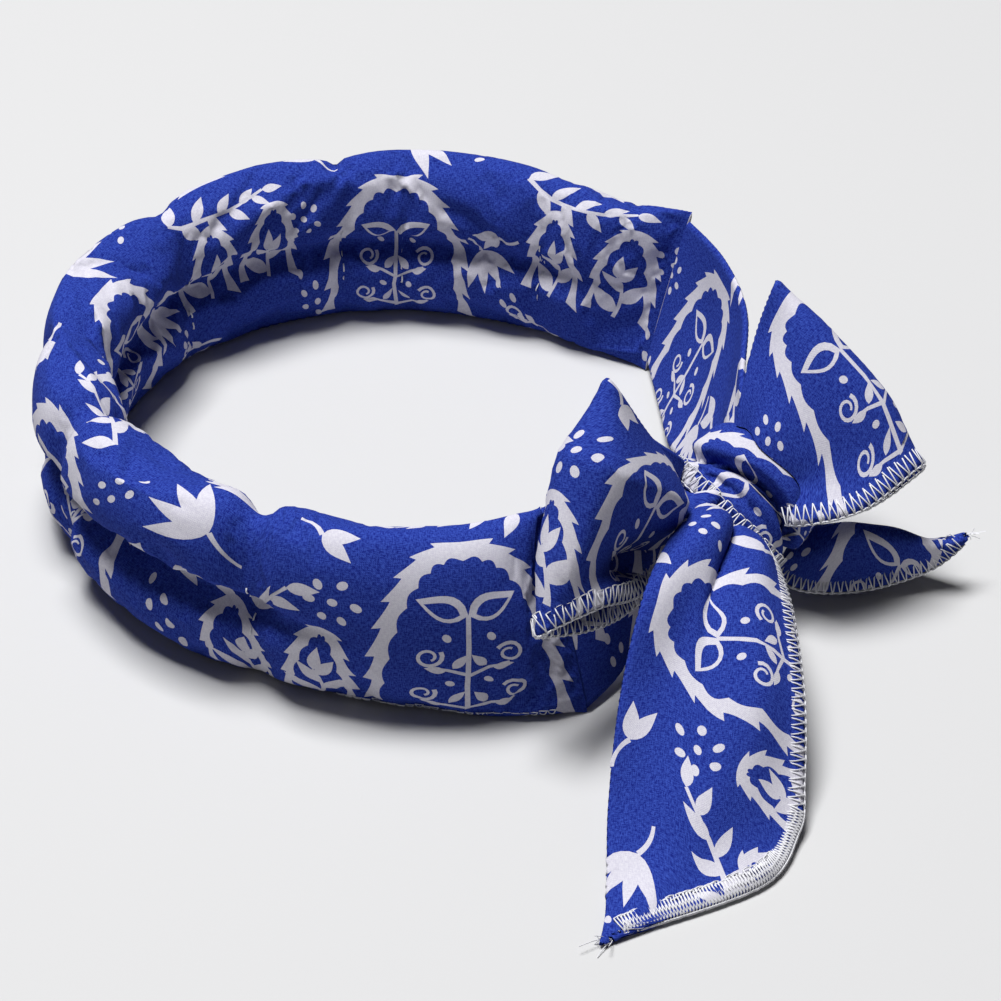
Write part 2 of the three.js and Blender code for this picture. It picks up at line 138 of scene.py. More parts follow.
# %% The sleeve
class Sleeve:
    def __init__(self, points):
        self.points = np.asarray(points, float)

    def at(self, along, round_):
        """Places on the cloth; along runs 0 to 1 and stops at its ends, round_ runs 0 to 1 and wraps."""
        rows, columns, _ = self.points.shape
        x = np.clip(along, 0, 1) * (rows - 1)
        y = np.mod(round_, 1) * columns
        i, j = np.minimum(x.astype(int), rows - 2), y.astype(int)
        wx, wy = self.weights(x - i), self.weights(y - j)
        total = 0
        for m in range(4):
            row = np.clip(i + m - 1, 0, rows - 1)
            for n in range(4):
                total = total + (wx[m] * wy[n])[:, None] * self.points[row, (j + n - 1) % columns]
        return total

    @staticmethod
    def weights(f):
        return (
            0.5 * (-f + 2 * f**2 - f**3),
            0.5 * (2 - 5 * f**2 + 3 * f**3),
            0.5 * (f + 4 * f**2 - 3 * f**3),
            0.5 * (-(f**2) + f**3),
        )

    def normals(self, along, round_):
        step = 0.0015
        d_along = self.at(np.minimum(along + step, 1), round_) - self.at(np.maximum(along - step, 0), round_)
        d_round = self.at(along, round_ + step) - self.at(along, round_ - step)
        return unit(np.cross(d_round, d_along))


# %% [markdown]
# ## The print
# The cotton is a blue ground with a white block print: serrated leaf arches with a little flowering stem in
# them, sprigs and scattered dots. It could be painted by a shader, but toothed outlines are crisper as real
# edges in the mesh. So each motif is a polygon in flat millimetres, and the cloth is cut along all of them.
# The motifs and their layout are our own, in the manner of common folk prints.


# %% Motif shapes
def turned(points, turn, scale=1.0, place=(0, 0)):
    c, s = math.cos(math.radians(turn)), math.sin(math.radians(turn))
    return np.asarray(points) @ np.array([[c, s], [-s, c]]) * scale + np.asarray(place)


def oval(length, width, n=12):
    a = np.linspace(0, 2 * math.pi, n, endpoint=False)
    return np.stack([length / 2 * np.cos(a), width / 2 * np.sin(a)], 1)


def leaf(length, width, n=9):
    """A leaf from its foot at the origin to its point on +x."""
    x = np.linspace(0, 1, n)
    y = width / 2 * np.sin(math.pi * x**0.8) * (1 - 0.25 * x)
    return np.concatenate([np.stack([length * x, y], 1), np.stack([length * x, -y], 1)[-2:0:-1]])


def stem(points, width, taper=0.6):
    """A line of the given width along points."""
    p = np.asarray(points, float)
    across = unit(np.stack([-np.gradient(p[:, 1]), np.gradient(p[:, 0])], 1))
    half = width / 2 * np.linspace(1, taper, len(p))[:, None]
    return np.concatenate([p + across * half, (p - across * half)[::-1]])


def curve(length, bend, n=9):
    x = np.linspace(0, 1, n)
    return np.stack([length * x, bend * 4 * x * (1 - x)], 1)


def curl(radius, turns=1.25, n=21):
    a = np.linspace(0, 2 * math.pi * turns, n)
    r = radius * (1 - 0.62 * np.linspace(0, 1, n))
    return np.stack([r * np.cos(a), r * np.sin(a)], 1)


def dots(count, spread):
    """A loose ring of dots round a middle one."""
    made = []
    for k in range(count):
        dot = turned(oval(2.9, 2.2), 30 * math.sin(7 * k), 1, (spread, 0))
        made.append(turned(dot, 360 * k / count + 9 * math.sin(5 * k)))
    return made + [oval(2.4, 2.1)]


def scatter(count):
    """Seed-shaped dots falling in a loose drift."""
    return [turned(oval(3.4, 2.1), 70 + 25 * math.sin(3 * k), 1, (4.6 * (k % 2) + 1.1 * k - 4, 3.4 * k - 9))
            for k in range(count)]


def sprig(length, leaves, weight=1.7):
    """A bowed stem with blunt leaves to either side."""
    line = curve(length, length * 0.12)
    made = [stem(line, weight)]
    for k in range(leaves):
        x = (k + 0.8) / leaves
        foot = line[min(int(x * 8), 8)]
        size = 1.15 - 0.4 * x
        made.append(turned(leaf(11 * size, 5.2 * size), (1 if k % 2 else -1) * (52 - 20 * x), 1, foot))
    return made + [turned(leaf(8, 3.8), 8, 1, line[-1])]


def arch(width, height, weight, teeth, point=0.8):
    """A pointed arch: barbed outside, scalloped inside, open at its foot."""
    s = np.linspace(0.02, 0.98, teeth * 14 + 1)
    x = -np.sign(np.cos(math.pi * s)) * width / 2 * np.abs(np.cos(math.pi * s)) ** point
    y = height * np.sin(math.pi * s) ** 0.9
    line = np.stack([x, y], 1)
    out = unit(np.stack([-np.gradient(y), np.gradient(x)], 1))
    down = unit(np.stack([np.gradient(x), np.gradient(y)], 1)) * np.where(s < 0.5, -1, 1)[:, None]
    half = weight * (0.40 + 0.38 * np.sin(math.pi * s))[:, None]
    phase = np.arange(len(s)) % 7 / 7
    steep = 0.45 + 0.55 * np.abs(np.cos(math.pi * s))
    barb = (np.where(s < 0.5, 1 - phase, phase) ** 1.7 * steep * 0.95 * weight)[:, None]
    outer = line + out * (half + barb) + down * barb * 1.1
    inner = line - out * (half - 0.34 * weight * np.abs(np.sin(math.pi * phase))[:, None])
    return [np.concatenate([outer, inner[::-1]])]


def bloom(height):
    """A slender stem with a pair of open leaves and curled berries."""
    made = [stem(np.array([(0, 0), (0.6, height * 0.3), (0.2, height * 0.7), (0, height)]), 1.3, 0.9)]
    for side in (1, -1):
        made.append(turned(leaf(13, 8.2), 90 - side * 68, 1, (0, height)))
        made.append(("ground", turned(leaf(9.0, 4.8), 90 - side * 68, 1, (side * 1.9, height + 0.2))))
        for k, y in enumerate((0.02, 0.42)):
            reach = (11.0, 9.5)[k]
            hub = np.array([side * reach, height * (y + 0.2)])
            branch = [(0, height * y), (side * reach * 0.5, height * (y + 0.06)), hub - [0, 3.2]]
            made.append(stem(branch, 1.1))
            made.append(turned(stem(curl(3.3), 1.1), 90 + 60 * side, 1, hub))
            made.append(turned(leaf(5.6, 2.8), 90 + side * 40, 1, (side * reach * 0.42, height * (y + 0.08))))
            made.append(turned(leaf(5.0, 2.5), 90 - side * 75, 1, (side * reach * 0.6, height * (y + 0.05))))
        made.append(turned(oval(2.6, 2.0), 60, 1, (side * 5.2, height * 0.8)))
        made.append(turned(oval(2.4, 1.8), 30, 1, (side * 4.6, height * 0.34)))
    return made


# %% [markdown]
# ### The repeat
# The layout repeats every REPEAT millimetres along the strip. Across, it is as wide as the strip is round, so
# the print meets itself at the sewn edge: the front is up to 60, the inside from 60 to 120.

# %% The repeat
REPEAT = 110.0
ROUND = 120.0
FOLD = ROUND / 2
LAYOUT = table(("motif", "at", "turn", "size"), [
    ("big_arch", (26, 3), 0, 1.0), ("bloom", (26, 9), 0, 0.92), ("small_arch", (60, 2), 4, 1.0),
    ("twig", (60, 4), 90, 0.9), ("small_arch", (79, 2), -5, 0.92), ("twig", (79, 3), 90, 0.8),
    ("sprig", (106, 32), 167, 0.95), ("dots", (55, 40), 0, 0.95), ("scatter", (97, 14), 0, 0.9),
    ("fan", (85, 52), 28, 0.9), ("scatter", (108, 52), 70, 0.8), ("drop", (58, 56), 205, 1.0),
    ("sprig", (9, 62), 3, 0.72), ("small_arch", (20, 98), 180, 1.05), ("twig", (20, 96), 270, 0.85),
    ("small_arch", (40, 98), 184, 1.05), ("twig", (40, 96), 268, 0.85), ("big_arch", (80, 118), 181, 1.0),
    ("bloom", (80, 112), 181, 0.9), ("scatter", (7, 106), 0, 0.9), ("scatter", (52, 106), 10, 0.9),
    ("curls", (22, 112), 185, 0.9), ("drop", (3, 82), 160, 1.0), ("fan", (106, 90), 62, 0.75),
    ("dots", (52, 76), 20, 0.8),
])
MOTIFS = {
    "big_arch": arch(40, 51, 2.9, 8),
    "small_arch": arch(13.5, 27, 1.9, 5, 1.0),
    "bloom": bloom(32),
    "sprig": sprig(44, 8),
    "twig": sprig(15, 4, 1.3),
    "dots": dots(6, 5.4),
    "scatter": scatter(6),
    "fan": [turned(leaf(17, 5.2), a) for a in (-44, -16, 12, 40)] + [turned(stem(curve(9, 1), 1.6), 180)],
    "drop": [turned(leaf(9, 4.4), a) for a in (-28, 14)] + [turned(stem(curve(7, 1), 1.3), 185)],
    "curls": [stem(curve(16, 3), 1.3), turned(stem(curl(3.6), 1.2), 200, 1, (15, 5)),
              turned(stem(curl(3.2), 1.1), 30, 1, (5, -4)), turned(leaf(6, 3), 50, 1, (8, 2))],
}


def facing_up(outline):
    """The outline counter-clockwise, as the triangulation wants it."""
    x, y = outline.T
    area = np.dot(x, np.roll(y, -1)) - np.dot(y, np.roll(x, -1))
    return outline if area > 0 else outline[::-1]


def shapes_in(start, low, high):
    """Every motif that touches the cloth from low to high, as (paint, outline); start shifts the repeat."""
    found = []
    for tile in range(math.floor((start + low) / REPEAT) - 1, math.ceil((start + high) / REPEAT) + 1):
        for row in LAYOUT:
            for wrap in (-ROUND, 0, ROUND):
                centre = (row["at"][0] + tile * REPEAT - start, row["at"][1] + wrap)
                for shape in MOTIFS[row["motif"]]:
                    paint, outline = shape if isinstance(shape, tuple) else ("print", shape)
                    placed = facing_up(turned(outline, row["turn"], row["size"], centre))
                    least, most = placed.min(0), placed.max(0)
                    if most[0] > low and least[0] < high and most[1] > -5 and least[1] < ROUND + 5:
                        found.append((paint, placed))
    return found


print("motif outlines in one repeat:", sum(len(MOTIFS[r["motif"]]) for r in LAYOUT))

# %% [markdown]
# ### Cutting the cloth
# A constrained Delaunay triangulation takes the outlines and a net of points, and returns triangles that never
# cross an outline. Each one knows which outlines it lies in, and the last of them says which paint it gets.
# The cloth's own outline is the first. It is the strip as it shows: narrower where the cloth is gathered, and
# cut off along the line where it goes under the knot.


# %% Cutting
def read_grid(grid, x, y):
    """A grid of numbers read at shares x and y of its rows and columns, in straight lines between them."""
    a, b = x * (grid.shape[0] - 1), y * (grid.shape[1] - 1)
    i, j = (np.clip(np.floor(k).astype(int), 0, n - 2) for k, n in zip((a, b), grid.shape))
    a, b = a - i, b - j
    low = grid[i, j] * (1 - b) + grid[i, j + 1] * b
    return low * (1 - a) + (grid[i + 1, j] * (1 - b) + grid[i + 1, j + 1] * b) * a


class Cut:
    """A piece of flat cloth. reach says how far along the cloth each row of the sleeve lies, for columns
    from the fold to the sewn edge; wide is the half width at each row; first and last are the shares of
    the rows, at even steps across, where the cloth's two ends are cut."""

    def __init__(self, reach, wide, first=(0.0, 0.0), last=(1.0, 1.0)):
        self.reach, self.wide = np.asarray(reach, float), np.asarray(wide, float)
        self.first, self.last = np.asarray(first, float), np.asarray(last, float)
        self.low, self.high = self.reach.min(), self.reach.max()
        rows = np.linspace(0, 1, len(self.reach))
        steps = np.linspace(self.low, self.high, 800)
        self.row_at = np.stack([np.interp(steps, column, rows) for column in self.reach.T], 1)

    def half(self, row):
        return np.interp(row, np.linspace(0, 1, len(self.wide)), self.wide)

    def end(self, which, f):
        return np.interp(f, np.linspace(-1, 1, len(which)), which)

    def point(self, row, f):
        row, f = np.broadcast_arrays(row, f)
        return np.stack([read_grid(self.reach, row, np.abs(f)), FOLD + f * self.half(row)], -1)

    def shares(self, flat):
        """Where flat points are, as shares of the rows and of the way round."""
        along = (flat[:, 0] - self.low) / (self.high - self.low)
        row = read_grid(self.row_at, along, np.full(len(flat), 0.5))
        for _ in range(5):
            f = np.clip((flat[:, 1] - FOLD) / self.half(row), -1, 1)
            row = read_grid(self.row_at, along, np.abs(f))
        return row, (f + 1) / 2

    def outline(self, spacing):
        rows = np.linspace(0, 1, max(round((self.high - self.low) / spacing), 4) + 1)
        f = np.linspace(-1, 1, 61)
        low, high = self.end(self.first, -1.0), self.end(self.last, -1.0)
        gap = 0.2 / len(rows)
        edge = np.concatenate([[low], rows[(rows > low + gap) & (rows < high - gap)], [high]])
        sides = [self.point(edge, -1.0), self.point(self.end(self.last, f), f),
                 self.point(edge[::-1], 1.0), self.point(self.end(self.first, f), f)[::-1]]
        return np.concatenate([side[:-1] for side in sides])

    def net(self, spacing):
        """Points inside, closer together where the cloth turns round its fold and its sewn edge."""
        widest = self.wide.max()
        f = set(np.linspace(-1, 1, max(round(2 * widest / spacing), 4) + 1))
        for near in (0.5, 1.1, 1.9, 3.0):
            f |= {near / widest, -near / widest, 1 - near / widest, near / widest - 1}
        step = spacing / (self.high - self.low)
        points = []
        for k, across in enumerate(sorted(f)[1:-1]):
            rows = (np.arange(round(1 / step) + 1) + 0.5 * (k % 2)) * step
            low, high = self.end(self.first, across), self.end(self.last, across)
            rows = rows[(rows > low + 0.25 * step) & (rows < high - 0.25 * step)]
            points.append(self.point(rows, across))
        return np.concatenate(points)


def cut_cloth(cut, start, spacing):
    """Flat printed cloth: points in mm, triangles, and the paint of each triangle (0 ground, 1 print)."""
    shapes = shapes_in(start, cut.low, cut.high)
    outlines = [cut.outline(spacing)] + [outline for _, outline in shapes]
    points, faces, count = [], [], 0
    for outline in outlines:
        points.append(outline)
        faces.append(list(range(count, count + len(outline))))
        count += len(outline)
    points.append(cut.net(spacing))
    flat = [Vector(p) for p in np.concatenate(points)]
    verts, _, tris, _, _, inside = geometry.delaunay_2d_cdt(flat, [], faces, 1, 1e-4, True)
    kept, paint = [], []
    for tri, owners in zip(tris, inside):
        if 0 in owners:
            kept.append(tri)
            top = max(owners)
            paint.append(1 if top and shapes[top - 1][0] == "print" else 0)
    return np.array([v[:] for v in verts]), np.array(kept)[:, ::-1], np.array(paint)


# %% [markdown]
# ### Laying it
# The flat points go onto the sleeve. The two long edges meet at the sewn edge and are joined there, the open
# ends are filled, and every point keeps the smooth normal of the sleeve, so that the many small triangles of
# the print don't show in the shading. The UV map holds the flat places, in units of 100 mm, for the weave.


# %% Laying
def lay(name, sleeve, cut, start, spacing=2.0):
    flat, tris, paint = cut_cloth(cut, start, spacing)
    along, round_ = cut.shares(flat)
    place = sleeve.at(along, round_)
    normal = sleeve.normals(along, round_)
    mesh = bpy.data.meshes.new(name)
    mesh.from_pydata(to_metres(place), [], tris.tolist())
    for m in PRINTED:
        mesh.materials.append(m)
    mesh.polygons.foreach_set("material_index", paint.astype(np.int32))
    uv = mesh.uv_layers.new(name="flat_mm")
    corners = np.zeros(len(mesh.loops), np.int32)
    mesh.loops.foreach_get("vertex_index", corners)
    uv.data.foreach_set("uv", ((flat + [start, 0])[corners] / 100).ravel())
    kept = mesh.attributes.new("cloth_normal", "FLOAT_VECTOR", "POINT")
    kept.data.foreach_set("vector", normal.ravel())
    bm = bmesh.new()
    bm.from_mesh(mesh)
    bmesh.ops.remove_doubles(bm, verts=bm.verts, dist=4e-6)
    bmesh.ops.holes_fill(bm, edges=[e for e in bm.edges if e.is_boundary], sides=0)
    bmesh.ops.triangulate(bm, faces=[f for f in bm.faces if len(f.verts) > 3])
    bm.to_mesh(mesh)
    bm.free()
    mesh.polygons.foreach_set("use_smooth", [True] * len(mesh.polygons))
    stored = np.zeros(3 * len(mesh.vertices), np.float32)
    mesh.attributes["cloth_normal"].data.foreach_get("vector", stored)
    mesh.normals_split_custom_set_from_vertices(unit(stored.reshape(-1, 3)).tolist())
    mesh.attributes.remove(mesh.attributes["cloth_normal"])
    print(f"{name}: {len(mesh.polygons)} faces, {int(100 * paint.mean())}% of them print")
    return add_object(name, mesh)


# %% [markdown]
# ## Materials
# Two finishes share one weave: the blue ground and the white ink on it. The weave is a fine plain one: two
# wave patterns across each other stand for the threads, and stretched noise for the uneven slubs that give
# the blue its speckle. A small class lets the sums be written as ordinary arithmetic.


# %% Shader helpers
class Value:
    """One number in a material; arithmetic on it adds Math nodes."""

    def __init__(self, finish, socket):
        self.finish, self.socket = finish, socket

    def sum_with(self, operation, other):
        return self.finish.node("ShaderNodeMath", {0: self, 1: other}, operation=operation)

    def __add__(self, other):
        return self.sum_with("ADD", other)

    def __mul__(self, other):
        return self.sum_with("MULTIPLY", other)

    __radd__, __rmul__ = __add__, __mul__


class Finish:
    """A material whose nodes are added one by one."""

    def __init__(self, name, **constants):
        self.material = bpy.data.materials.new(name)
        self.material.use_nodes = True
        self.tree = self.material.node_tree
        self.shader = self.tree.nodes["Principled BSDF"]
        for key, value in constants.items():
            self.shader.inputs[key.replace("_", " ")].default_value = value

    def node(self, kind, inputs=None, output=0, **settings):
        made = self.tree.nodes.new(kind)
        for key, value in settings.items():
            setattr(made, key, value)
        for key, value in (inputs or {}).items():
            self.feed(made.inputs[key], value)
        return Value(self, made.outputs[output])

    def feed(self, socket, value):
        if isinstance(value, Value):
            self.tree.links.new(value.socket, socket)
        else:
            socket.default_value = value

    def set(self, name, value):
        self.feed(self.shader.inputs[name], value)


# %% The cotton
THREAD_MM = 0.55


def cotton(name, dark, light, speckle):
    finish = Finish(name, Roughness=0.9, Specular_IOR_Level=0.06)
    uv = finish.node("ShaderNodeUVMap", uv_map="flat_mm")
    apart = finish.node("ShaderNodeSeparateXYZ", {0: uv})
    x, y = (Value(finish, apart.socket.node.outputs[k]) for k in (0, 1))
    turns = 2 * math.pi * 100 / THREAD_MM
    warp = finish.node("ShaderNodeMath", {0: x * turns}, operation="SINE")
    weft = finish.node("ShaderNodeMath", {0: y * turns}, operation="SINE")
    slubs = []
    for stretch in ((90.0, 420.0, 1.0), (420.0, 90.0, 1.0)):
        spread = finish.node("ShaderNodeVectorMath", {0: uv, 1: stretch}, operation="MULTIPLY")
        slubs.append(finish.node("ShaderNodeTexNoise", {"Vector": spread, "Scale": 1.0, "Detail": 3.0}))
    flecks = slubs[0] + slubs[1]
    shade = finish.node("ShaderNodeMapRange", {0: flecks, 1: 0.82, 2: 1.2, 3: 0.0, 4: speckle})
    soft = finish.node("ShaderNodeTexNoise", {"Vector": uv, "Scale": 6.0, "Detail": 2.0})
    colour = finish.node("ShaderNodeMix", {0: shade, 6: (*dark, 1), 7: (*light, 1)}, 2, data_type="RGBA")
    worn = finish.node("ShaderNodeMix", {0: soft * 0.12, 6: colour, 7: (*light, 1)}, 2, data_type="RGBA")
    finish.set("Base Color", worn)
    height = warp * weft * 0.5 + flecks
    bump = finish.node("ShaderNodeBump", {"Height": height, "Strength": 0.35, "Distance": 0.0001})
    finish.set("Normal", bump)
    return finish.material


ground = cotton("blue_cotton", (0.004, 0.009, 0.155), (0.038, 0.078, 0.40), 0.85)
ink = cotton("white_print", (0.49, 0.475, 0.56), (0.60, 0.59, 0.65), 1.0)
PRINTED = (ground, ink)

thread_finish = Finish("white_thread", Roughness=0.7, Specular_IOR_Level=0.3)
own_place = thread_finish.node("ShaderNodeTexCoord", output=3)
fibre = thread_finish.node("ShaderNodeTexNoise", {"Vector": own_place, "Scale": 900.0, "Detail": 2.0})
thread_finish.set("Base Color", thread_finish.node(
    "ShaderNodeMix", {0: fibre, 6: (0.62, 0.62, 0.67, 1), 7: (0.74, 0.74, 0.76, 1)}, 2, data_type="RGBA"))
thread = thread_finish.material

# %% [markdown]
# ## The padded band
# The band is filled with soft wadding in sewn cells. Its section is an upper and a lower roll with a crease
# between them, and each cross seam pulls it in. Those are drawn first from a table, a little slack. Then a
# cloth simulation blows it up like a long pillow, held at the seams and along the bottom where it rests, so
# the padding swells between them and puckers beside them.

# %% Band tables
BAND_ROWS = table(("bearing", "reach", "height", "full", "lean", "outer", "inner"), [
    (-60, 1.14, 0.97, 0.0, -0.95, 0.0, 0.0),
    (-66, 1.12, 1.0, 0.6, -0.6, 0.0, 0.2),
    (-75, 1.075, 1.0, 0.92, -0.25, 0.0, 0.4),
    (-90, 1.01, 1.0, 1.0, -0.05, 0.05, 0.5),
    (-103, 0.975, 1.02, 1.06, 0.0, 0.5, 0.6),
    (-112, 0.96, 1.03, 1.08, 0.02, 1.25, 0.7),
    (-135, 0.955, 1.04, 1.12, 0.08, 1.5, 0.7),
    (-157, 0.965, 1.02, 1.1, 0.06, 1.4, 0.8),
    (-180, 0.985, 1.0, 1.0, 0.03, 1.3, 0.8),
    (-205, 1.015, 1.0, 0.94, 0.0, 0.9, 1.0),
    (-225, 1.055, 0.98, 0.98, 0.0, 0.7, 1.2),
    (-250, 1.06, 1.0, 0.94, 0.0, 0.7, 1.2),
    (-272, 1.06, 1.0, 0.9, 0.0, 0.7, 1.2),
    (-296, 1.08, 0.98, 0.9, 0.1, 0.6, 0.9),
    (-311, 1.12, 0.94, 0.72, 0.25, 0.3, 0.5),
    (-323, 1.195, 0.94, 0.0, 0.6, 0.0, 0.0),
])
CROSS_SEAMS = table(("bearing", "depth", "dip"), [
    (-111, 1.3, 0.09), (-157, 1.2, 0.08), (-184, 0.5, 0.02), (-225, 0.9, 0.04), (-260, 0.6, 0.01),
    (-272, 0.5, 0.01), (-301, 0.7, 0.02),
])
SEAM_SPREAD = 4.0
CREASE_DEPTH, CREASE_WIDTH = 6.0, 0.085


def seam_pull(bearing, name):
    return sum(s[name] * gauss((bearing - s["bearing"]) / SEAM_SPREAD) for s in CROSS_SEAMS)


def even_ring(points, count):
    """The closed line through points, divided evenly by length from its first point."""
    closed = np.concatenate([points, points[:1]])
    far = run(closed)
    return read_line(closed, far, np.arange(count) / count * far[-1])


def band_ring(t, columns, slack=1.0):
    """One section of the band, from the sewn edge at the bottom up the outside and down the inside."""
    row = {k: float(smooth_row(BAND_ROWS, t, k)) for k in BAND_ROWS[0]}
    bearing = row["bearing"]
    height = BAND_HEIGHT * (row["height"] - seam_pull(bearing, "dip"))
    full = max(row["full"], 0) * slack
    padding = BAND_THICKNESS - END_THICKNESS - SEAM_PINCH * seam_pull(bearing, "depth")
    half = (END_THICKNESS + full * padding) / 2
    turn = np.linspace(-0.5 * math.pi, 1.5 * math.pi, 240, endpoint=False)
    rise = np.sign(np.sin(turn)) * np.abs(np.sin(turn)) ** 0.9
    share = (1 + rise) / 2
    side = np.sign(np.cos(turn)) * np.abs(np.cos(turn)) ** 0.85
    depth = CREASE_DEPTH * np.where(side > 0, row["outer"], row["inner"]) * full
    groove = np.minimum(depth * gauss((share - 0.5) / CREASE_WIDTH) * np.abs(side), 0.78 * half)
    across = side * half - np.sign(side) * groove
    reach = RING_RADIUS * row["reach"] + across + BAND_THICKNESS * row["lean"] * (share - 0.5)
    a = math.radians(bearing)
    z = np.maximum(share * height, BAND_FOOT)
    return even_ring(np.stack([reach * math.cos(a), reach * math.sin(a), z], 1), columns)


# %% [markdown]
# ### The simulation
# Blender's Cloth runs on the grid itself, not on a remeshed copy, so every point still knows its place in the
# flat strip and the print can follow. Cross seams, crease and sole are pinned, and the movement is capped.


# %% Blowing up the band
def blown_up(points, held, pressure, frames, cap):
    """The grid after a cloth simulation. held is 0 to 1 for each point; cap is the furthest move in mm."""
    rows, columns, _ = points.shape
    mesh = bpy.data.meshes.new("band_blown_up")
    mesh.from_pydata((points.reshape(-1, 3) / 1000).tolist(), [], tube_faces(rows, columns))
    bm = bmesh.new()
    bm.from_mesh(mesh)
    bmesh.ops.recalc_face_normals(bm, faces=bm.faces)
    bm.to_mesh(mesh)
    bm.free()
    obj = add_object("band_blown_up", mesh)
    group = obj.vertex_groups.new(name="held")
    for k, weight in enumerate(held.ravel()):
        if weight > 0.02:
            group.add([k], float(min(weight, 1)), "REPLACE")
    cloth = obj.modifiers.new("cloth", "CLOTH")
    s = cloth.settings
    s.quality, s.mass = 5, 0.15
    s.tension_stiffness = s.compression_stiffness = 12
    s.shear_stiffness, s.bending_stiffness = 4, 0.15
    s.vertex_group_mass, s.pin_stiffness = "held", 1
    s.use_pressure, s.uniform_pressure_force = True, pressure
    s.shrink_min = -0.03
    s.effector_weights.gravity = 0
    cloth.collision_settings.use_collision = False
    cloth.point_cache.frame_start, cloth.point_cache.frame_end = 1, frames
    scene = bpy.context.scene
    for k in range(1, frames + 1):
        scene.frame_set(k)
    moved = obj.evaluated_get(bpy.context.evaluated_depsgraph_get()).to_mesh()
    after = np.zeros(3 * rows * columns, np.float32)
    moved.vertices.foreach_get("co", after)
    after = after.reshape(points.shape) * 1000
    scene.frame_set(1)
    bpy.data.objects.remove(obj)
    step = after - points
    size = np.linalg.norm(step, axis=-1, keepdims=True)
    print("the band swelled by up to", round(float(size.max()), 1), "mm")
    return points + step * np.minimum(1, cap / np.maximum(size, 1e-6))


BAND_GRID_ROWS, BAND_COLUMNS = 240, 64
OUTER_CREASE, INNER_CREASE = BAND_COLUMNS // 4, BAND_COLUMNS * 3 // 4
rows_t = np.linspace(0, 1, BAND_GRID_ROWS)
band_points = np.array([band_ring(t, BAND_COLUMNS, slack=0.9) for t in rows_t])
bearings = smooth_row(BAND_ROWS, rows_t, "bearing")
held = np.zeros(band_points.shape[:2])
held += np.clip(seam_pull(bearings, "depth") ** 4, 0, 1)[:, None] * 0.9
held[:3] = held[-3:] = 1
held[:, [0, 1, 2, -1, -2]] = 1
creases = []
for side, column in (("outer", OUTER_CREASE), ("inner", INNER_CREASE)):
    beside = gauss((np.arange(BAND_COLUMNS) - column) / 1.3)
    creases.append(smooth_row(BAND_ROWS, rows_t, side)[:, None] * beside)
held += 0.8 * (creases[0] + creases[1])
band_points = blown_up(band_points, held, pressure=2.6, frames=20, cap=3.0)
band_points[:, :, 2] = np.maximum(band_points[:, :, 2], BAND_FOOT)
band_reach = run(band_points[:, [OUTER_CREASE, INNER_CREASE]].mean(1))
band_length = float(band_reach[-1])
around = np.linalg.norm(np.diff(band_points, axis=1, append=band_points[:, :1]), axis=2).sum(1)
band_cut = Cut(np.repeat(band_reach[:, None], 2, 1), around / 2)
band_sleeve = Sleeve(band_points)
band = lay("padded_band", band_sleeve, band_cut, 0.0)
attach(band, "root")
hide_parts("neck_band")
print("strip along the band, mm:", round(band_length))

# %% [markdown]
# ## Serged edges
# The sewn edges are overlocked: white thread runs along the rim, and legs of it reach in over both sides in
# little V shapes. One stitch is drawn as a few thin tubes. Geometry Nodes walks along the edge, puts a stitch
# at every pitch and turns it so that its legs lie on the cloth. The edge line brings two attributes with
# it: way, the direction of the edge, and into, the direction across the cloth.

# %% One stitch
PITCH, DASH_PITCH, END_PITCH = 2.1, 3.4, 0.8
THREAD = 0.2


def tube(points, radius):
    """Vertices and faces of a thin three-sided tube through points."""
    p = np.asarray(points, float)
    way = unit(np.gradient(p, axis=0))
    side = unit(np.cross(way, np.where(np.abs(way[:, 2:]) > 0.9, [[1.0, 0, 0]], [[0, 0, 1.0]])))
    up = np.cross(side, way)
    a = np.arange(3) / 3 * 2 * math.pi
    c, s = np.cos(a)[None, :, None], np.sin(a)[None, :, None]
    verts = p[:, None] + radius * (c * side[:, None] + s * up[:, None])
    return verts.reshape(-1, 3), tube_faces(len(p), 3)


def gather_mesh(name, tubes):
    """One mesh from several tubes, in metres."""
    verts, faces, count = [], [], 0
    for v, f in tubes:
        verts.append(v)
        faces += [tuple(k + count for k in face) for face in f]
        count += len(v)
    mesh = bpy.data.meshes.new(name)
    mesh.from_pydata((np.concatenate(verts) / 1000).tolist(), [], faces)
    mesh.update()
    return mesh


def serging_stitch(name, reach, radius):
    """One stitch whose legs reach that far in from the edge."""
    lift = CLOTH / 2 + 0.16
    high = lift + 0.12
    return bpy.data.objects.new(name, gather_mesh(name, [
        tube([(0.05, reach, lift), (0.4, reach / 2, high), (0.95, 0.3, lift), (1.0, -0.25, 0.1)], radius),
        tube([(1.95, reach, lift), (1.6, reach / 2, high), (1.1, 0.3, lift), (1.0, -0.25, 0.1)], radius),
        tube([(1.0, -0.25, 0.0), (0.85, 0.3, -lift), (0.1, reach, -lift)], radius),
        tube([(1.0, -0.25, 0.0), (1.3, 0.3, -lift), (2.0, reach, -lift)], radius),
        tube([(0, -0.2, 0.3), (PITCH / 2, -0.38, 0.0), (PITCH, -0.2, -0.3)], radius * 1.3),
        tube([(0, -0.2, -0.3), (PITCH / 2, -0.3, 0.35), (PITCH, -0.2, 0.3)], radius * 1.1),
        tube([(0, reach, lift), (PITCH / 2, reach + 0.12, lift + 0.1), (PITCH, reach, lift)], radius * 0.8),
    ]))


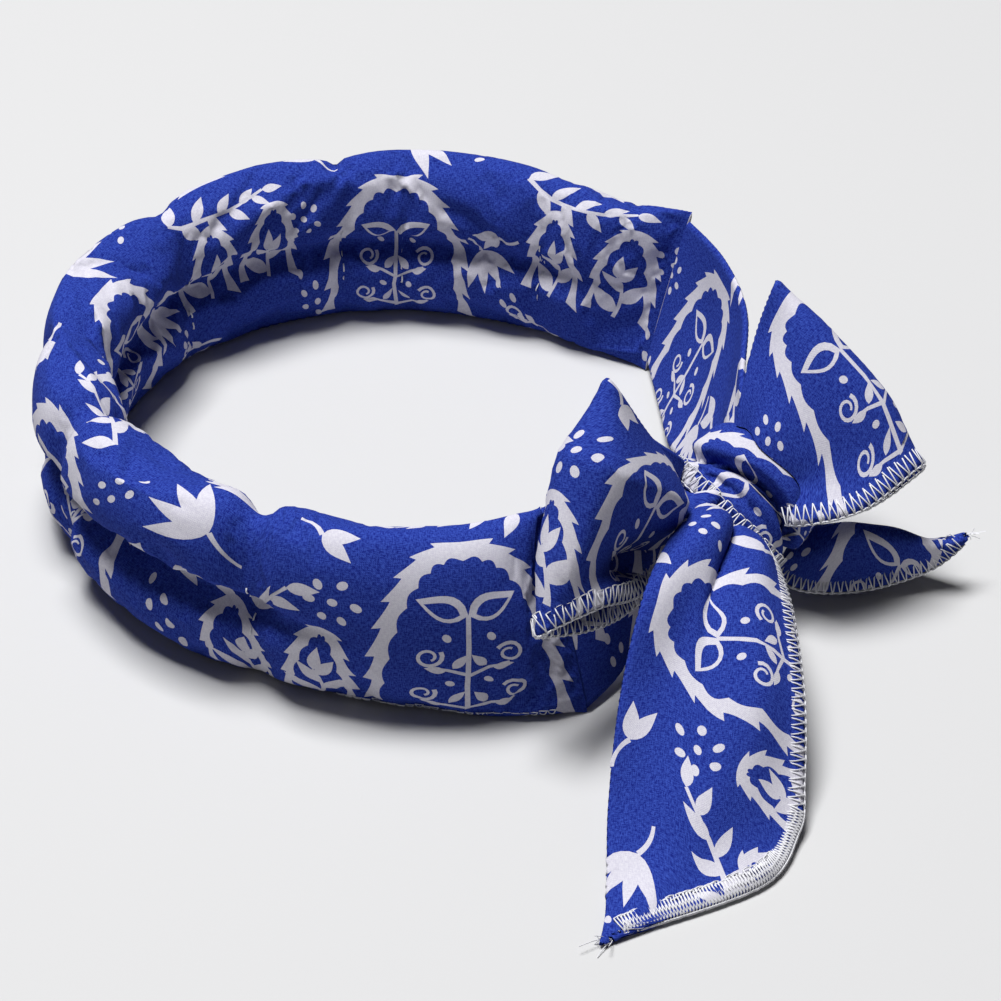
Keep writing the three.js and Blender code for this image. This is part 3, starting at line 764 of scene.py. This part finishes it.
stitch = serging_stitch("one_stitch", SERGED, THREAD)
low_stitch = serging_stitch("one_low_stitch", SERGED / 2, THREAD * 0.8)
dash_line = [(0, 0, -0.5), (0.25, 0.05, 0.15), (1.1, 0.0, 0.3), (2.0, -0.05, 0.15), (2.25, 0, -0.5)]
dash = bpy.data.objects.new("one_dash", gather_mesh("one_dash", [tube(dash_line, THREAD * 1.1)]))
print("one stitch has", len(stitch.data.polygons), "faces")

# %% The serging tree
serging = bpy.data.node_groups.new("serging", "GeometryNodeTree")
SERGING_INPUTS = {}
for label, kind, value in (
        ("Geometry", "NodeSocketGeometry", None), ("Stitch", "NodeSocketObject", None),
        ("Pitch", "NodeSocketFloat", PITCH / 1000), ("Unevenness", "NodeSocketFloat", 0.12),
        ("Seed", "NodeSocketInt", 5), ("Thread", "NodeSocketMaterial", None)):
    socket = serging.interface.new_socket(label, in_out="INPUT", socket_type=kind)
    SERGING_INPUTS[label] = socket.identifier
    if value is not None:
        socket.default_value = value
serging.interface.new_socket("Geometry", in_out="OUTPUT", socket_type="NodeSocketGeometry")


def add_node(tree, kind, links=None, **settings):
    made = tree.nodes.new(kind)
    for key, value in settings.items():
        setattr(made, key, value)
    for key, value in (links or {}).items():
        if isinstance(value, bpy.types.NodeSocket):
            tree.links.new(value, made.inputs[key])
        else:
            made.inputs[key].default_value = value
    return made


given = serging.nodes.new("NodeGroupInput").outputs
line = add_node(serging, "GeometryNodeMeshToCurve", {"Mesh": given["Geometry"]})
spaced = add_node(serging, "GeometryNodeResampleCurve",
                  {"Curve": line.outputs[0], "Length": given["Pitch"]}, mode="LENGTH")
way = add_node(serging, "GeometryNodeInputNamedAttribute", {"Name": "way"}, data_type="FLOAT_VECTOR")
into = add_node(serging, "GeometryNodeInputNamedAttribute", {"Name": "into"}, data_type="FLOAT_VECTOR")
turn = add_node(serging, "FunctionNodeAxesToRotation", {0: way.outputs[0], 1: into.outputs[0]},
                primary_axis="X", secondary_axis="Y")
uneven = add_node(serging, "FunctionNodeRandomValue", {"Seed": given["Seed"]}, data_type="FLOAT")
least = add_node(serging, "ShaderNodeMath", {0: 1.0, 1: given["Unevenness"]}, operation="SUBTRACT")
most = add_node(serging, "ShaderNodeMath", {0: 1.0, 1: given["Unevenness"]}, operation="ADD")
floats = [k for k in uneven.inputs if k.type == "VALUE"]
serging.links.new(least.outputs[0], floats[0])
serging.links.new(most.outputs[0], floats[1])
number = [k for k in uneven.outputs if k.type == "VALUE"][0]
size = add_node(serging, "ShaderNodeCombineXYZ", {0: 1.0, 1: number, 2: 1.0})
source = add_node(serging, "GeometryNodeObjectInfo", {"Object": given["Stitch"]})
placed = add_node(serging, "GeometryNodeInstanceOnPoints", {
    "Points": spaced.outputs[0], "Instance": source.outputs["Geometry"], "Rotation": turn.outputs[0],
    "Scale": size.outputs[0]})
real = add_node(serging, "GeometryNodeRealizeInstances", {0: placed.outputs[0]})
coloured = add_node(serging, "GeometryNodeSetMaterial",
                    {"Geometry": real.outputs[0], "Material": given["Thread"]})
serging.links.new(coloured.outputs[0], serging.nodes.new("NodeGroupOutput").inputs[0])


# %% Serging an edge
def serge(name, points, way, into, shape=stitch, pitch=PITCH, seed=5):
    """Stitches along a line of points in mm, as a plain mesh."""
    mesh = bpy.data.meshes.new(name + "_line")
    mesh.from_pydata(to_metres(points), [(k, k + 1) for k in range(len(points) - 1)], [])
    for key, value in (("way", way), ("into", into)):
        mesh.attributes.new(key, "FLOAT_VECTOR", "POINT").data.foreach_set("vector", value.ravel())
    line = add_object(name + "_line", mesh)
    modifier = line.modifiers.new("serging", "NODES")
    modifier.node_group = serging
    modifier[SERGING_INPUTS["Stitch"]] = shape
    modifier[SERGING_INPUTS["Pitch"]] = pitch / 1000
    modifier[SERGING_INPUTS["Seed"]] = seed
    modifier[SERGING_INPUTS["Thread"]] = thread
    made = bpy.data.meshes.new_from_object(line.evaluated_get(bpy.context.evaluated_depsgraph_get()))
    bpy.data.objects.remove(line)
    made.name = name
    for vert in made.vertices:
        vert.co.z = max(vert.co.z, STITCH_FOOT / 1000)
    made.polygons.foreach_set("use_smooth", [True] * len(made.polygons))
    print(f"  {name}: {len(made.polygons) // len(shape.data.polygons)} stitches")
    return add_object(name, made)


def sewn_edge(sleeve, cut, low, high):
    """The line of a sleeve's sewn edge from row low to row high, the way along it and the way in from it. On
    a slanted end the rows run beside the edge, so the way in is found from the cloth's normal."""
    rows = np.linspace(low, high, 200)
    rows = rows[cut.half(rows) > SERGED * 0.8]
    points = sleeve.at(rows, np.zeros(len(rows)))
    inner = np.minimum(SERGED / cut.half(rows) / 4, 0.2)
    inside = unit((sleeve.at(rows, inner) + sleeve.at(rows, 1 - inner)) / 2 - points)
    way, square = square_to(points, inside)
    before, quarter = np.clip(rows - 0.08, 0.02, 0.9), np.full(len(rows), 0.25)
    face = sleeve.normals(before, quarter) - sleeve.normals(before, 1 - quarter)
    level = unit(np.cross(face, way))
    level = level * np.sign(np.sum(level * (sleeve.at(before, quarter) - points), axis=1, keepdims=True))
    slant = np.abs(np.sum(inside * way, axis=1, keepdims=True))
    share = np.clip((slant - 0.75) / 0.15, 0, 1)
    into = square * (1 - share) + level * share
    return points, *square_to(points, np.stack([evened(k) for k in into.T], 1))


def square_to(points, into):
    """The direction back along a line, and the part of into that is square to it."""
    way = -unit(np.gradient(points, axis=0))
    return way, unit(into - way * np.sum(into * way, axis=1, keepdims=True))


# %% Seams of the band
# The sewn edge shows along the foot of the band in front, where the cloth turns up from the floor. Each cross
# seam is a short row of running stitches outside and another inside.
TURN_UP_HEIGHT = 1.1
rows = np.linspace(0.06, 0.23, 160)
near = np.linspace(0.02, 0.14, 60)
turn_up = evened([np.interp(TURN_UP_HEIGHT, band_sleeve.at(np.full(60, row), near)[:, 2], near)
                  for row in rows])
foot = band_sleeve.at(rows, turn_up) - (CLOTH / 2 - 0.1) * band_sleeve.normals(rows, turn_up)
up = band_sleeve.at(rows, turn_up + 0.03) - band_sleeve.at(rows, turn_up)
seam_pieces = [serge("band_serging", foot, *square_to(foot, up), low_stitch)]
fine = np.linspace(0, 1, 500)
bearing_rows = smooth_row(BAND_ROWS, fine, "bearing")
for k, seam in enumerate(CROSS_SEAMS):
    row = float(np.interp(-seam["bearing"], -bearing_rows, fine))
    for side, low, high in (("outside", 0.17, 0.33), ("inside", 0.67, 0.83)):
        round_ = np.linspace(low, high, 30)
        at = np.full(30, row)
        out = band_sleeve.normals(at, round_)
        line = band_sleeve.at(at, round_) - 0.1 * out
        way = unit(np.gradient(line, axis=0))
        name = f"seam_{k + 1}_{side}"
        seam_pieces.append(serge(name, line, way, unit(np.cross(out, way)), dash, DASH_PITCH, seed=k))
for piece in seam_pieces:
    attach(piece, "root")


# %% Loose ends of thread
FIBRE, FIBRE_LENGTH = 0.12, 4.5


def loose_ends(name, place, way, count, seed):
    """A few fibres that stick out at the tip of a tail."""
    g = np.random.default_rng(seed)
    tubes = []
    for _ in range(count):
        aim = unit(way + g.normal(0, 0.45, 3))
        bend = g.normal(0, 0.35, 3)
        x = np.linspace(0, 1, 6)[:, None]
        foot = place + g.normal(0, 0.8, 3) * [1, 1, 0.3]
        line = foot + FIBRE_LENGTH * g.uniform(0.5, 1) * (x * aim + x**2 * bend)
        line[:, 2] = np.maximum(line[:, 2], FIBRE_FOOT)
        tubes.append(tube(line + RING_CENTRE, FIBRE))
    mesh = gather_mesh(name, tubes)
    mesh.materials.append(thread)
    return add_object(name, mesh)


# %% [markdown]
# ## The flat strips
# Past the padding the strip is two layers of cotton, folded along one edge and sewn along the other. The bow
# is made of such strips. Each follows a table that crosses the strip in rows, from the fold edge to the sewn
# edge; places are counted from the knot, x and y in strip widths and z in band heights. A sheet is drawn
# through the rows first, with its ridge, its valley and its gathers. The sleeve is that sheet, doubled.


# %% Strip tables
BOW = ("fold", "sewn", "ridge", "valley")
LEFT_LOOP_ROWS = table(BOW, [
    ([-0.06, 0.0, 0.78], [-0.14, -0.26, 0.60], 0.04, 0.0),
    ([-0.27, -0.06, 0.86], [-0.43, -0.66, 0.62], 0.17, 0.08),
    ([-0.40, -0.26, 1.18], [-0.61, -0.90, 0.78], 0.22, 0.12),
    ([-0.55, -0.38, 1.61], [-0.83, -1.04, 0.76], 0.14, -0.02),
    ([-0.57, -0.31, 1.56], [-0.82, -0.96, 0.66], 0.02, -0.04),
    ([-0.42, -0.14, 1.12], [-0.64, -0.84, 0.58], -0.04, -0.04),
    ([-0.24, -0.01, 0.84], [-0.46, -0.62, 0.50], -0.02, -0.02),
    ([-0.03, 0.02, 0.70], [-0.10, -0.14, 0.52], 0.0, 0.0),
])
RIGHT_LOOP_ROWS = table(BOW, [
    ([-0.04, 0.04, 0.80], [0.10, -0.10, 0.52], 0.0, 0.0),
    ([-0.01, 0.22, 1.02], [0.26, -0.22, 0.62], 0.06, 0.02),
    ([0.05, 0.40, 1.24], [0.48, -0.18, 0.68], 0.08, 0.03),
    ([0.12, 0.49, 1.46], [0.70, -0.02, 0.78], 0.04, -0.04),
    ([0.14, 0.55, 1.38], [0.71, 0.06, 0.66], 0.0, -0.05),
    ([0.14, 0.48, 1.16], [0.50, -0.06, 0.56], -0.03, -0.03),
    ([0.08, 0.26, 0.90], [0.26, -0.06, 0.48], -0.02, -0.02),
    ([0.02, 0.04, 0.70], [0.08, -0.02, 0.42], 0.0, 0.0),
])
RIGHT_TAIL_ROWS = table(BOW, [
    ([0.02, 0.04, 0.50], [0.02, -0.08, 0.30], 0.0, 0.0),
    ([0.20, 0.16, 0.26], [0.20, -0.14, 0.14], 0.06, -0.10),
    ([0.40, 0.20, 0.14], [0.40, -0.12, 0.08], 0.09, -0.18),
    ([0.62, 0.15, 0.13], [0.62, -0.08, 0.09], 0.09, -0.16),
    ([0.80, 0.09, 0.20], [0.82, -0.02, 0.15], 0.06, -0.09),
    ([0.94, 0.02, 0.33], [0.945, 0.0, 0.30], 0.0, 0.0),
])
FRONT_TAIL_ROWS = table(BOW, [
    ([-0.10, -0.08, 0.70], [0.10, -0.06, 0.44], 0.0, 0.0),
    ([-0.27, -0.40, 0.80], [0.13, -0.42, 0.50], 0.02, -0.06),
    ([-0.44, -0.86, 0.84], [0.16, -0.72, 0.52], -0.06, -0.08),
    ([-0.54, -1.18, 0.54], [0.18, -1.08, 0.40], -0.04, -0.10),
    ([-0.59, -1.50, 0.20], [0.17, -1.36, 0.17], 0.06, -0.06),
    ([-0.60, -1.78, 0.06], [0.14, -1.54, 0.06], 0.05, -0.03),
    ([-0.61, -1.97, 0.03], [-0.02, -1.80, 0.03], 0.02, -0.01),
    ([-0.63, -2.10, 0.025], [-0.55, -2.05, 0.025], 0.0, 0.0),
])
LEAD = ("along", "low", "high", "lowOut", "highOut", "bow")
FRONT_LEAD_ROWS = table(LEAD, [
    (0.004, 0.02, 0.965, 0.0, 0.0, 0.0),
    (0.25, 0.06, 0.95, 0.0, -0.04, 0.03),
    (0.6, 0.20, 0.80, -0.06, -0.12, 0.02),
    (1.0, 0.34, 0.58, -0.10, -0.12, 0.0),
])
BACK_LEAD_ROWS = table(LEAD, [
    (0.004, 0.06, 0.89, 0.0, 0.0, 0.0),
    (0.25, 0.06, 0.97, -0.04, 0.08, 0.04),
    (0.5, 0.16, 0.97, -0.10, 0.12, 0.04),
    (0.75, 0.34, 0.90, -0.08, 0.05, 0.02),
    (1.0, 0.46, 0.78, 0.0, 0.0, 0.0),
])

# %% The knot's own measure
# The wrap's rim stands out over a narrower bundle, and the strips come out from under it.
KNOT_AXIS = unit(np.array([0.71, 0.43, 0.55]))
KNOT_WIDE = np.array([0.707, -0.435, -0.557])
KNOT_WIDE = unit(KNOT_WIDE - KNOT_AXIS * (KNOT_WIDE @ KNOT_AXIS))
KNOT_DEEP = np.cross(KNOT_AXIS, KNOT_WIDE)
KNOT_HALF_WIDTH, KNOT_HALF_DEPTH = 18.0, 12.5
KNOT_PROFILE = table(("along", "size"), [
    (-12.8, 0.40), (-11.8, 0.60), (-10.2, 0.68), (-8.0, 0.72), (-6.0, 0.76), (-6.4, 0.88), (-7.8, 0.97),
    (-7.6, 1.02), (-5.2, 1.03), (-1.5, 1.03), (3.0, 1.03), (7.0, 1.01), (10.0, 0.94), (12.2, 0.78),
    (13.4, 0.45),
])
KNOT_ROOM = table(("along", "size"), [
    (-12.8, 0.45), (-11.8, 0.60), (-9.0, 0.73), (-8.6, 1.04), (3.5, 1.04), (7.0, 1.02), (10.0, 0.95),
    (12.2, 0.78), (13.4, 0.45),
])


def outside_knot(place):
    """Above zero outside the knot, growing with the distance."""
    p = place - KNOT
    s, w, d = p @ KNOT_AXIS, p @ KNOT_WIDE, p @ KNOT_DEEP
    along = [row["along"] for row in KNOT_ROOM]
    size = np.interp(s, along, [row["size"] for row in KNOT_ROOM])
    across = np.hypot(w / (size * KNOT_HALF_WIDTH + 0.3), d / (size * KNOT_HALF_DEPTH + 0.3)) - 1
    beyond = np.maximum(along[0] - 0.3 - s, s - along[-1] - 0.3) / 12
    return np.maximum(across, beyond)


# %% Sheets and sleeves
ACROSS = 48


def bow_place(shares):
    return KNOT * [1, 1, 0] + shares * np.array([STRIP_WIDTH, STRIP_WIDTH, BAND_HEIGHT])


def bump(v, peak, crisp=0.0):
    share = np.where(v < peak, v / peak, (1 - v) / (1 - peak))
    return crisp * share + (1 - crisp) * np.sin(math.pi / 2 * share) ** 2


def gathers(far, v, count, depth, reach, phase):
    """Creases that fan out from the knot; far is the distance from it along the strip."""
    bent = v + 0.05 * np.sin(far / 9 + phase)
    sharp = np.sin(2 * math.pi * count * bent + phase)
    return depth * gauss(far / reach) * (sharp - 0.35 * sharp**2)


def rumples(far, v, depth, seed):
    """Slight unevenness all over."""
    g = np.random.default_rng(seed)
    total = 0
    for _ in range(7):
        a, b, c = g.uniform(0.06, 0.22), g.uniform(3, 13), g.uniform(0, 6.28)
        total = total + np.sin(a * far + g.choice([-1, 1]) * b * v + c) * g.uniform(0.3, 1)
    return depth * total / 2.5 * np.sin(math.pi * np.clip(v, 0.04, 0.96)) ** 0.6


def bow_sheet(rows, face, steps, folds, crisp=0.0):
    """The strip's middle sheet, evenly divided along it; folds adds to its height."""
    v = np.linspace(0, 1, ACROSS + 1)

    def lines(t):
        return [bow_place(smooth_row(rows, t, k)) for k in ("fold", "sewn")]

    t = np.linspace(0, 1, 1200)
    fold, sewn = lines(t)
    far = run((fold + sewn) / 2)
    length = far[-1]
    even = np.linspace(0, length, steps + 1)
    t = np.interp(even, far, t)
    fold, sewn = lines(t)
    way = np.gradient(fold + sewn, axis=0)
    out = unit(np.cross(way, sewn - fold)) * face
    ridge, valley = (STRIP_WIDTH * smooth_row(rows, t, k)[:, None] for k in ("ridge", "valley"))
    lift = ridge * bump(v, 1 / 3, crisp) - valley * bump(v, 2 / 3) + folds(even[:, None], length, v[None])
    return fold[:, None] + (sewn - fold)[:, None] * v[None, :, None] + out[:, None] * lift[..., None]


def lead_sheet(rows, band_row, steps, folds):
    """The middle sheet of a flat end, from the band's end to the knot."""
    v = np.linspace(0, 1, ACROSS + 1)
    a = math.radians(band_row["bearing"])
    outward = np.array([math.cos(a), math.sin(a), 0])
    start = outward * RING_RADIUS * band_row["reach"]
    way = KNOT * [1, 1, 0] - start
    out = unit(np.array([way[1], -way[0], 0]))
    out = out if out @ start > 0 else -out
    t = np.linspace(0, 1, steps + 1)
    row = {k: smooth_row(rows, t, k)[:, None] for k in LEAD}

    def mix(high, low):
        return row[high] * (1 - v) + row[low] * v

    length = np.linalg.norm(way)
    side = STRIP_WIDTH * (mix("highOut", "lowOut") + row["bow"] * np.sin(math.pi * v))
    side = side + folds(row["along"] * length, length, v[None])
    z = BAND_HEIGHT * mix("high", "low")
    share = z / (BAND_HEIGHT * band_row["height"]) - 0.5
    lean = BAND_THICKNESS * band_row["lean"] * share * (1 - row["along"])
    flat = start + way * row["along"][..., None] + out * side[..., None] + outward * lean[..., None]
    return flat + np.array([0, 0, 1.0]) * z[..., None]


def even_rows(sheet):
    """Each row divided evenly by length."""
    made = []
    for row in sheet:
        far = run(row)
        made.append(read_line(row, far, np.linspace(0, far[-1], len(row))))
    return np.array(made)


def doubled(sheet):
    """The sleeve round a sheet of two layers, and its half width along it."""
    way, into = np.gradient(sheet, axis=0), np.gradient(sheet, axis=1)
    normal = unit(np.cross(way, into))
    width = np.linalg.norm(np.diff(sheet, axis=1), axis=2).sum(1)
    v = np.linspace(0, 1, ACROSS + 1)
    near = np.minimum(np.minimum(v, 1 - v) * np.maximum(width, 1)[:, None] / (CLOTH * 0.7), 1)
    half = CLOTH / 2 * np.sqrt(1 - (1 - near) ** 2)
    front, back = (sheet + side * normal * half[..., None] for side in (1, -1))
    points = np.concatenate([front[:, ::-1], back[:, 1:-1]], axis=1)
    points[..., 2] = np.maximum(points[..., 2], STRIP_FOOT)
    return Sleeve(points), width


def lay_strip(name, node, sheet, start, pinned=0.0, serged=True, frayed=0, dense=1.0):
    sheet = even_rows(sheet)
    sleeve, width = doubled(sheet)
    reach = run(sheet)[:, ::2]
    there = reach[round(pinned * (len(reach) - 1))]
    reach = reach - there + there.mean()
    rows = np.linspace(0, 1, 400)
    first, last = [], []
    for f in np.linspace(0, 1, 97):
        clear = outside_knot(sleeve.at(rows, np.full(400, f)))
        first.append(first_crossing(rows, clear))
        last.append(1 - first_crossing(rows, clear[::-1]))
    cut = Cut(reach, np.maximum(width, 0.6), first, last)
    piece = lay(name, sleeve, cut, start)
    hems = []
    if serged:
        hems.append(serge(name + "_serging", *sewn_edge(sleeve, cut, first[0], min(dense, last[0]))))
    if dense < 1:
        close = sewn_edge(sleeve, cut, dense, last[0])
        hems.append(serge(name + "_end_serging", *close, pitch=END_PITCH))
    if frayed:
        tip = sheet[-1, ACROSS // 2]
        outward = unit(tip - sheet[-8, ACROSS // 2])
        hems.append(loose_ends(name + "_threads", tip, outward, frayed, seed=frayed))
    for made in [piece] + hems:
        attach(made, "root")
    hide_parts(node)
    shown = np.linspace(np.mean(first), np.mean(last), 60)
    flat_length = float(np.diff(read_grid(cut.reach, shown[[0, -1]], np.array([0.5, 0.5])))[0])


def first_crossing(u, clear):
    """The share at which a line that starts in the knot leaves it."""
    if clear[0] > 0:
        return 0.0
    k = int(np.argmax(clear > 0))
    if k == 0:
        return 1.0
    return float(u[k - 1] + (u[k] - u[k - 1]) * clear[k - 1] / (clear[k - 1] - clear[k]))


# %% The two loops
def loop_folds(seed, count, depth):
    def folds(u, length, v):
        far = np.minimum(u, length - u)
        return gathers(far, v, count, depth, 17, seed) + rumples(u, v, 0.5, seed)
    return folds


def left_folds(u, length, v):
    """The left loop's front has a pleat that arches over a deep pocket beside the knot."""
    front = np.clip((length / 2 - u) / 12, 0, 1)
    pocket = gauss((v - 0.74) / 0.13) * gauss((u - 24) / 11)
    pleat = gauss((v - 0.5) / 0.10) * gauss((u - 22) / 14)
    hollow = gauss((v - 0.2) / 0.27) * (gauss((u - 13) / 10) - 0.8 * gauss((length - u - 13) / 10))
    return loop_folds(3, 2.2, 1.4)(u, length, v) + front * (3.0 * pleat - 9.0 * pocket) - 8.5 * hollow


left_sheet = bow_sheet(LEFT_LOOP_ROWS, 1, 150, left_folds, crisp=0.8)
lay_strip("left_bow_loop", "left_loop", left_sheet, -12.0, pinned=0.5)
right_sheet = bow_sheet(RIGHT_LOOP_ROWS, -1, 150, loop_folds(8, 2.0, 1.5))
lay_strip("right_bow_loop", "right_loop", right_sheet, 150.0, pinned=0.5)


# %% The two tails
def tail_folds(seed, count, depth, reach):
    def folds(u, length, v):
        return gathers(u, v, count, depth, reach, seed) + rumples(u, v, 0.45, seed)
    return folds


def front_folds(u, length, v):
    """The front tail leaves the knot with its fold edge rolled over, and the crease beside the roll fades."""
    roll = np.sin(math.pi * np.clip(v / 0.42, 0, 1)) ** 0.7 * gauss((u - 30) / 22)
    crease = gauss((v - 0.44) / 0.05) * gauss((u - 20) / 26)
    tucked = 3.5 * gauss(u / 13)
    return tail_folds(1, 1.4, 0.9, 28)(u, length, v) + 4.6 * roll - 2.2 * crease - tucked


front_sheet = bow_sheet(FRONT_TAIL_ROWS, 1, 150, front_folds)
lay_strip("front_bow_tail", "front_tail", front_sheet, 300.0, frayed=11, dense=0.72)
tail_sheet = bow_sheet(RIGHT_TAIL_ROWS, -1, 100, tail_folds(5, 1.5, 0.8, 22))
lay_strip("right_bow_tail", "right_tail", tail_sheet, 40.0, frayed=7)


# %% The flat ends of the band
def lead_folds(seed, depth):
    def folds(u, length, v):
        return gathers(length - u, v, 2.0, depth, 24, seed) + rumples(u, v, 0.4, seed) * np.clip(u / 12, 0, 1)
    return folds


front_end = lead_sheet(FRONT_LEAD_ROWS, BAND_ROWS[0], 90, lead_folds(4, 1.2))
lay_strip("front_flat_end", "front_lead", front_end, -70.0, serged=False)
back_end = lead_sheet(BACK_LEAD_ROWS, BAND_ROWS[-1], 110, lead_folds(6, 1.2))
lay_strip("back_flat_end", "back_lead", back_end, band_length, serged=False)

# %% [markdown]
# ## The knot
# One strip wraps the bundle. Its sewn edge shows as a rim at the lower left; beside it the cloth is drawn into
# a deep fold, and beyond that it rolls over smoothly. So the knot is a sleeve too, with its rows along the
# bundle and its columns round it, and a groove whose place wanders as it goes round.

# %% The knot
# The rim lies at place 6.6 of the profile, and its stitches point at the row of cloth 14 further on.
KNOT_ROWS, KNOT_COLUMNS = 110, 120
KNOT_GIRTH = 92.0
RIM_PLACE, BESIDE_RIM = 6.6, 14
t = np.linspace(0, 1, KNOT_ROWS)[:, None]
s, size = (smooth_row(KNOT_PROFILE, t[:, 0], name)[:, None] for name in ("along", "size"))
turn = np.linspace(0, 2 * math.pi, KNOT_COLUMNS, endpoint=False)[::-1]
beyond_rim = np.clip((t - 0.45) / 0.04, 0, 1)
groove_at = 5.0 - 7.0 * np.cos(turn - 0.12) ** 2
groove = 6.0 * gauss((s - groove_at) / 1.35) * beyond_rim
small_groove = 2.0 * gauss((s - 0.55 * groove_at + 3.6) / 0.9)
groove = groove + small_groove * beyond_rim * (0.6 + 0.4 * np.sin(turn * 2))
swell = 1.0 * gauss((s - groove_at - 3.4) / 2.2) * beyond_rim
w = (size * KNOT_HALF_WIDTH - 0.7 - groove * 0.6 + 0.5 * swell) * np.cos(turn)
d = (size * KNOT_HALF_DEPTH - 0.7 - groove + swell) * np.sin(turn)
knot_points = KNOT + s[..., None] * KNOT_AXIS + w[..., None] * KNOT_WIDE + d[..., None] * KNOT_DEEP
knot_run = run(knot_points)[:, KNOT_COLUMNS // 4]
knot_cut = Cut(np.repeat(knot_run[:, None], 2, 1), [KNOT_GIRTH / 2, KNOT_GIRTH / 2])
knot = lay("knot_cloth", Sleeve(knot_points), knot_cut, 0.0, 1.3)
rim = round(RIM_PLACE / (len(KNOT_PROFILE) - 1) * (KNOT_ROWS - 1))
edge, inside_rim = (np.concatenate([knot_points[k], knot_points[k][:1]]) for k in (rim, rim + BESIDE_RIM))
knot_hem = serge("knot_serging", edge, *square_to(edge, inside_rim - edge))
for piece in (knot, knot_hem):
    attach(piece, "root")
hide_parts("knot_wrap")

# %% Floor, light and camera
floor_mesh = bpy.data.meshes.new("floor")
floor_mesh.from_pydata([(-3, -3, 0), (3, -3, 0), (3, 3, 0), (-3, 3, 0)], [], [(0, 1, 2, 3)])
floor = add_object("floor", floor_mesh)
floor_mesh.materials.append(Finish("pale_floor", Base_Color=(0.52, 0.52, 0.525, 1), Roughness=0.9).material)
world = bpy.data.worlds.new("studio")
bpy.context.scene.world = world
world.use_nodes = True
background = world.node_tree.nodes["Background"].inputs
background[0].default_value = (1, 1, 1, 1)
background[1].default_value = 0.04
bpy.context.scene.view_settings.view_transform = "Standard"


def soft_light(name, place, size, power):
    lamp = bpy.data.lights.new(name, "AREA")
    lamp.size, lamp.energy = size, power
    obj = add_object(name, lamp)
    obj.location = place
    obj.rotation_euler = (-Vector(place)).to_track_quat("-Z", "Y").to_euler()


soft_light("key", (-0.34, 0.2, 2.2), 0.85, 80)
soft_light("fill", (-0.5, -0.9, 0.8), 0.8, 0.4)

ELEVATION, DISTANCE, LENS = 38, 0.85, 117.7
target = (np.array([30.0, -5.0, 0.0]) + RING_CENTRE) / 1000
e = math.radians(ELEVATION)
camera = add_object("camera", bpy.data.cameras.new("camera"))
camera.data.sensor_width, camera.data.lens = 36, LENS
camera.location = Vector(target) + Vector((0, -math.cos(e), math.sin(e))) * DISTANCE
camera.rotation_euler = (math.pi / 2 - e, 0, 0)
bpy.context.scene.camera = camera
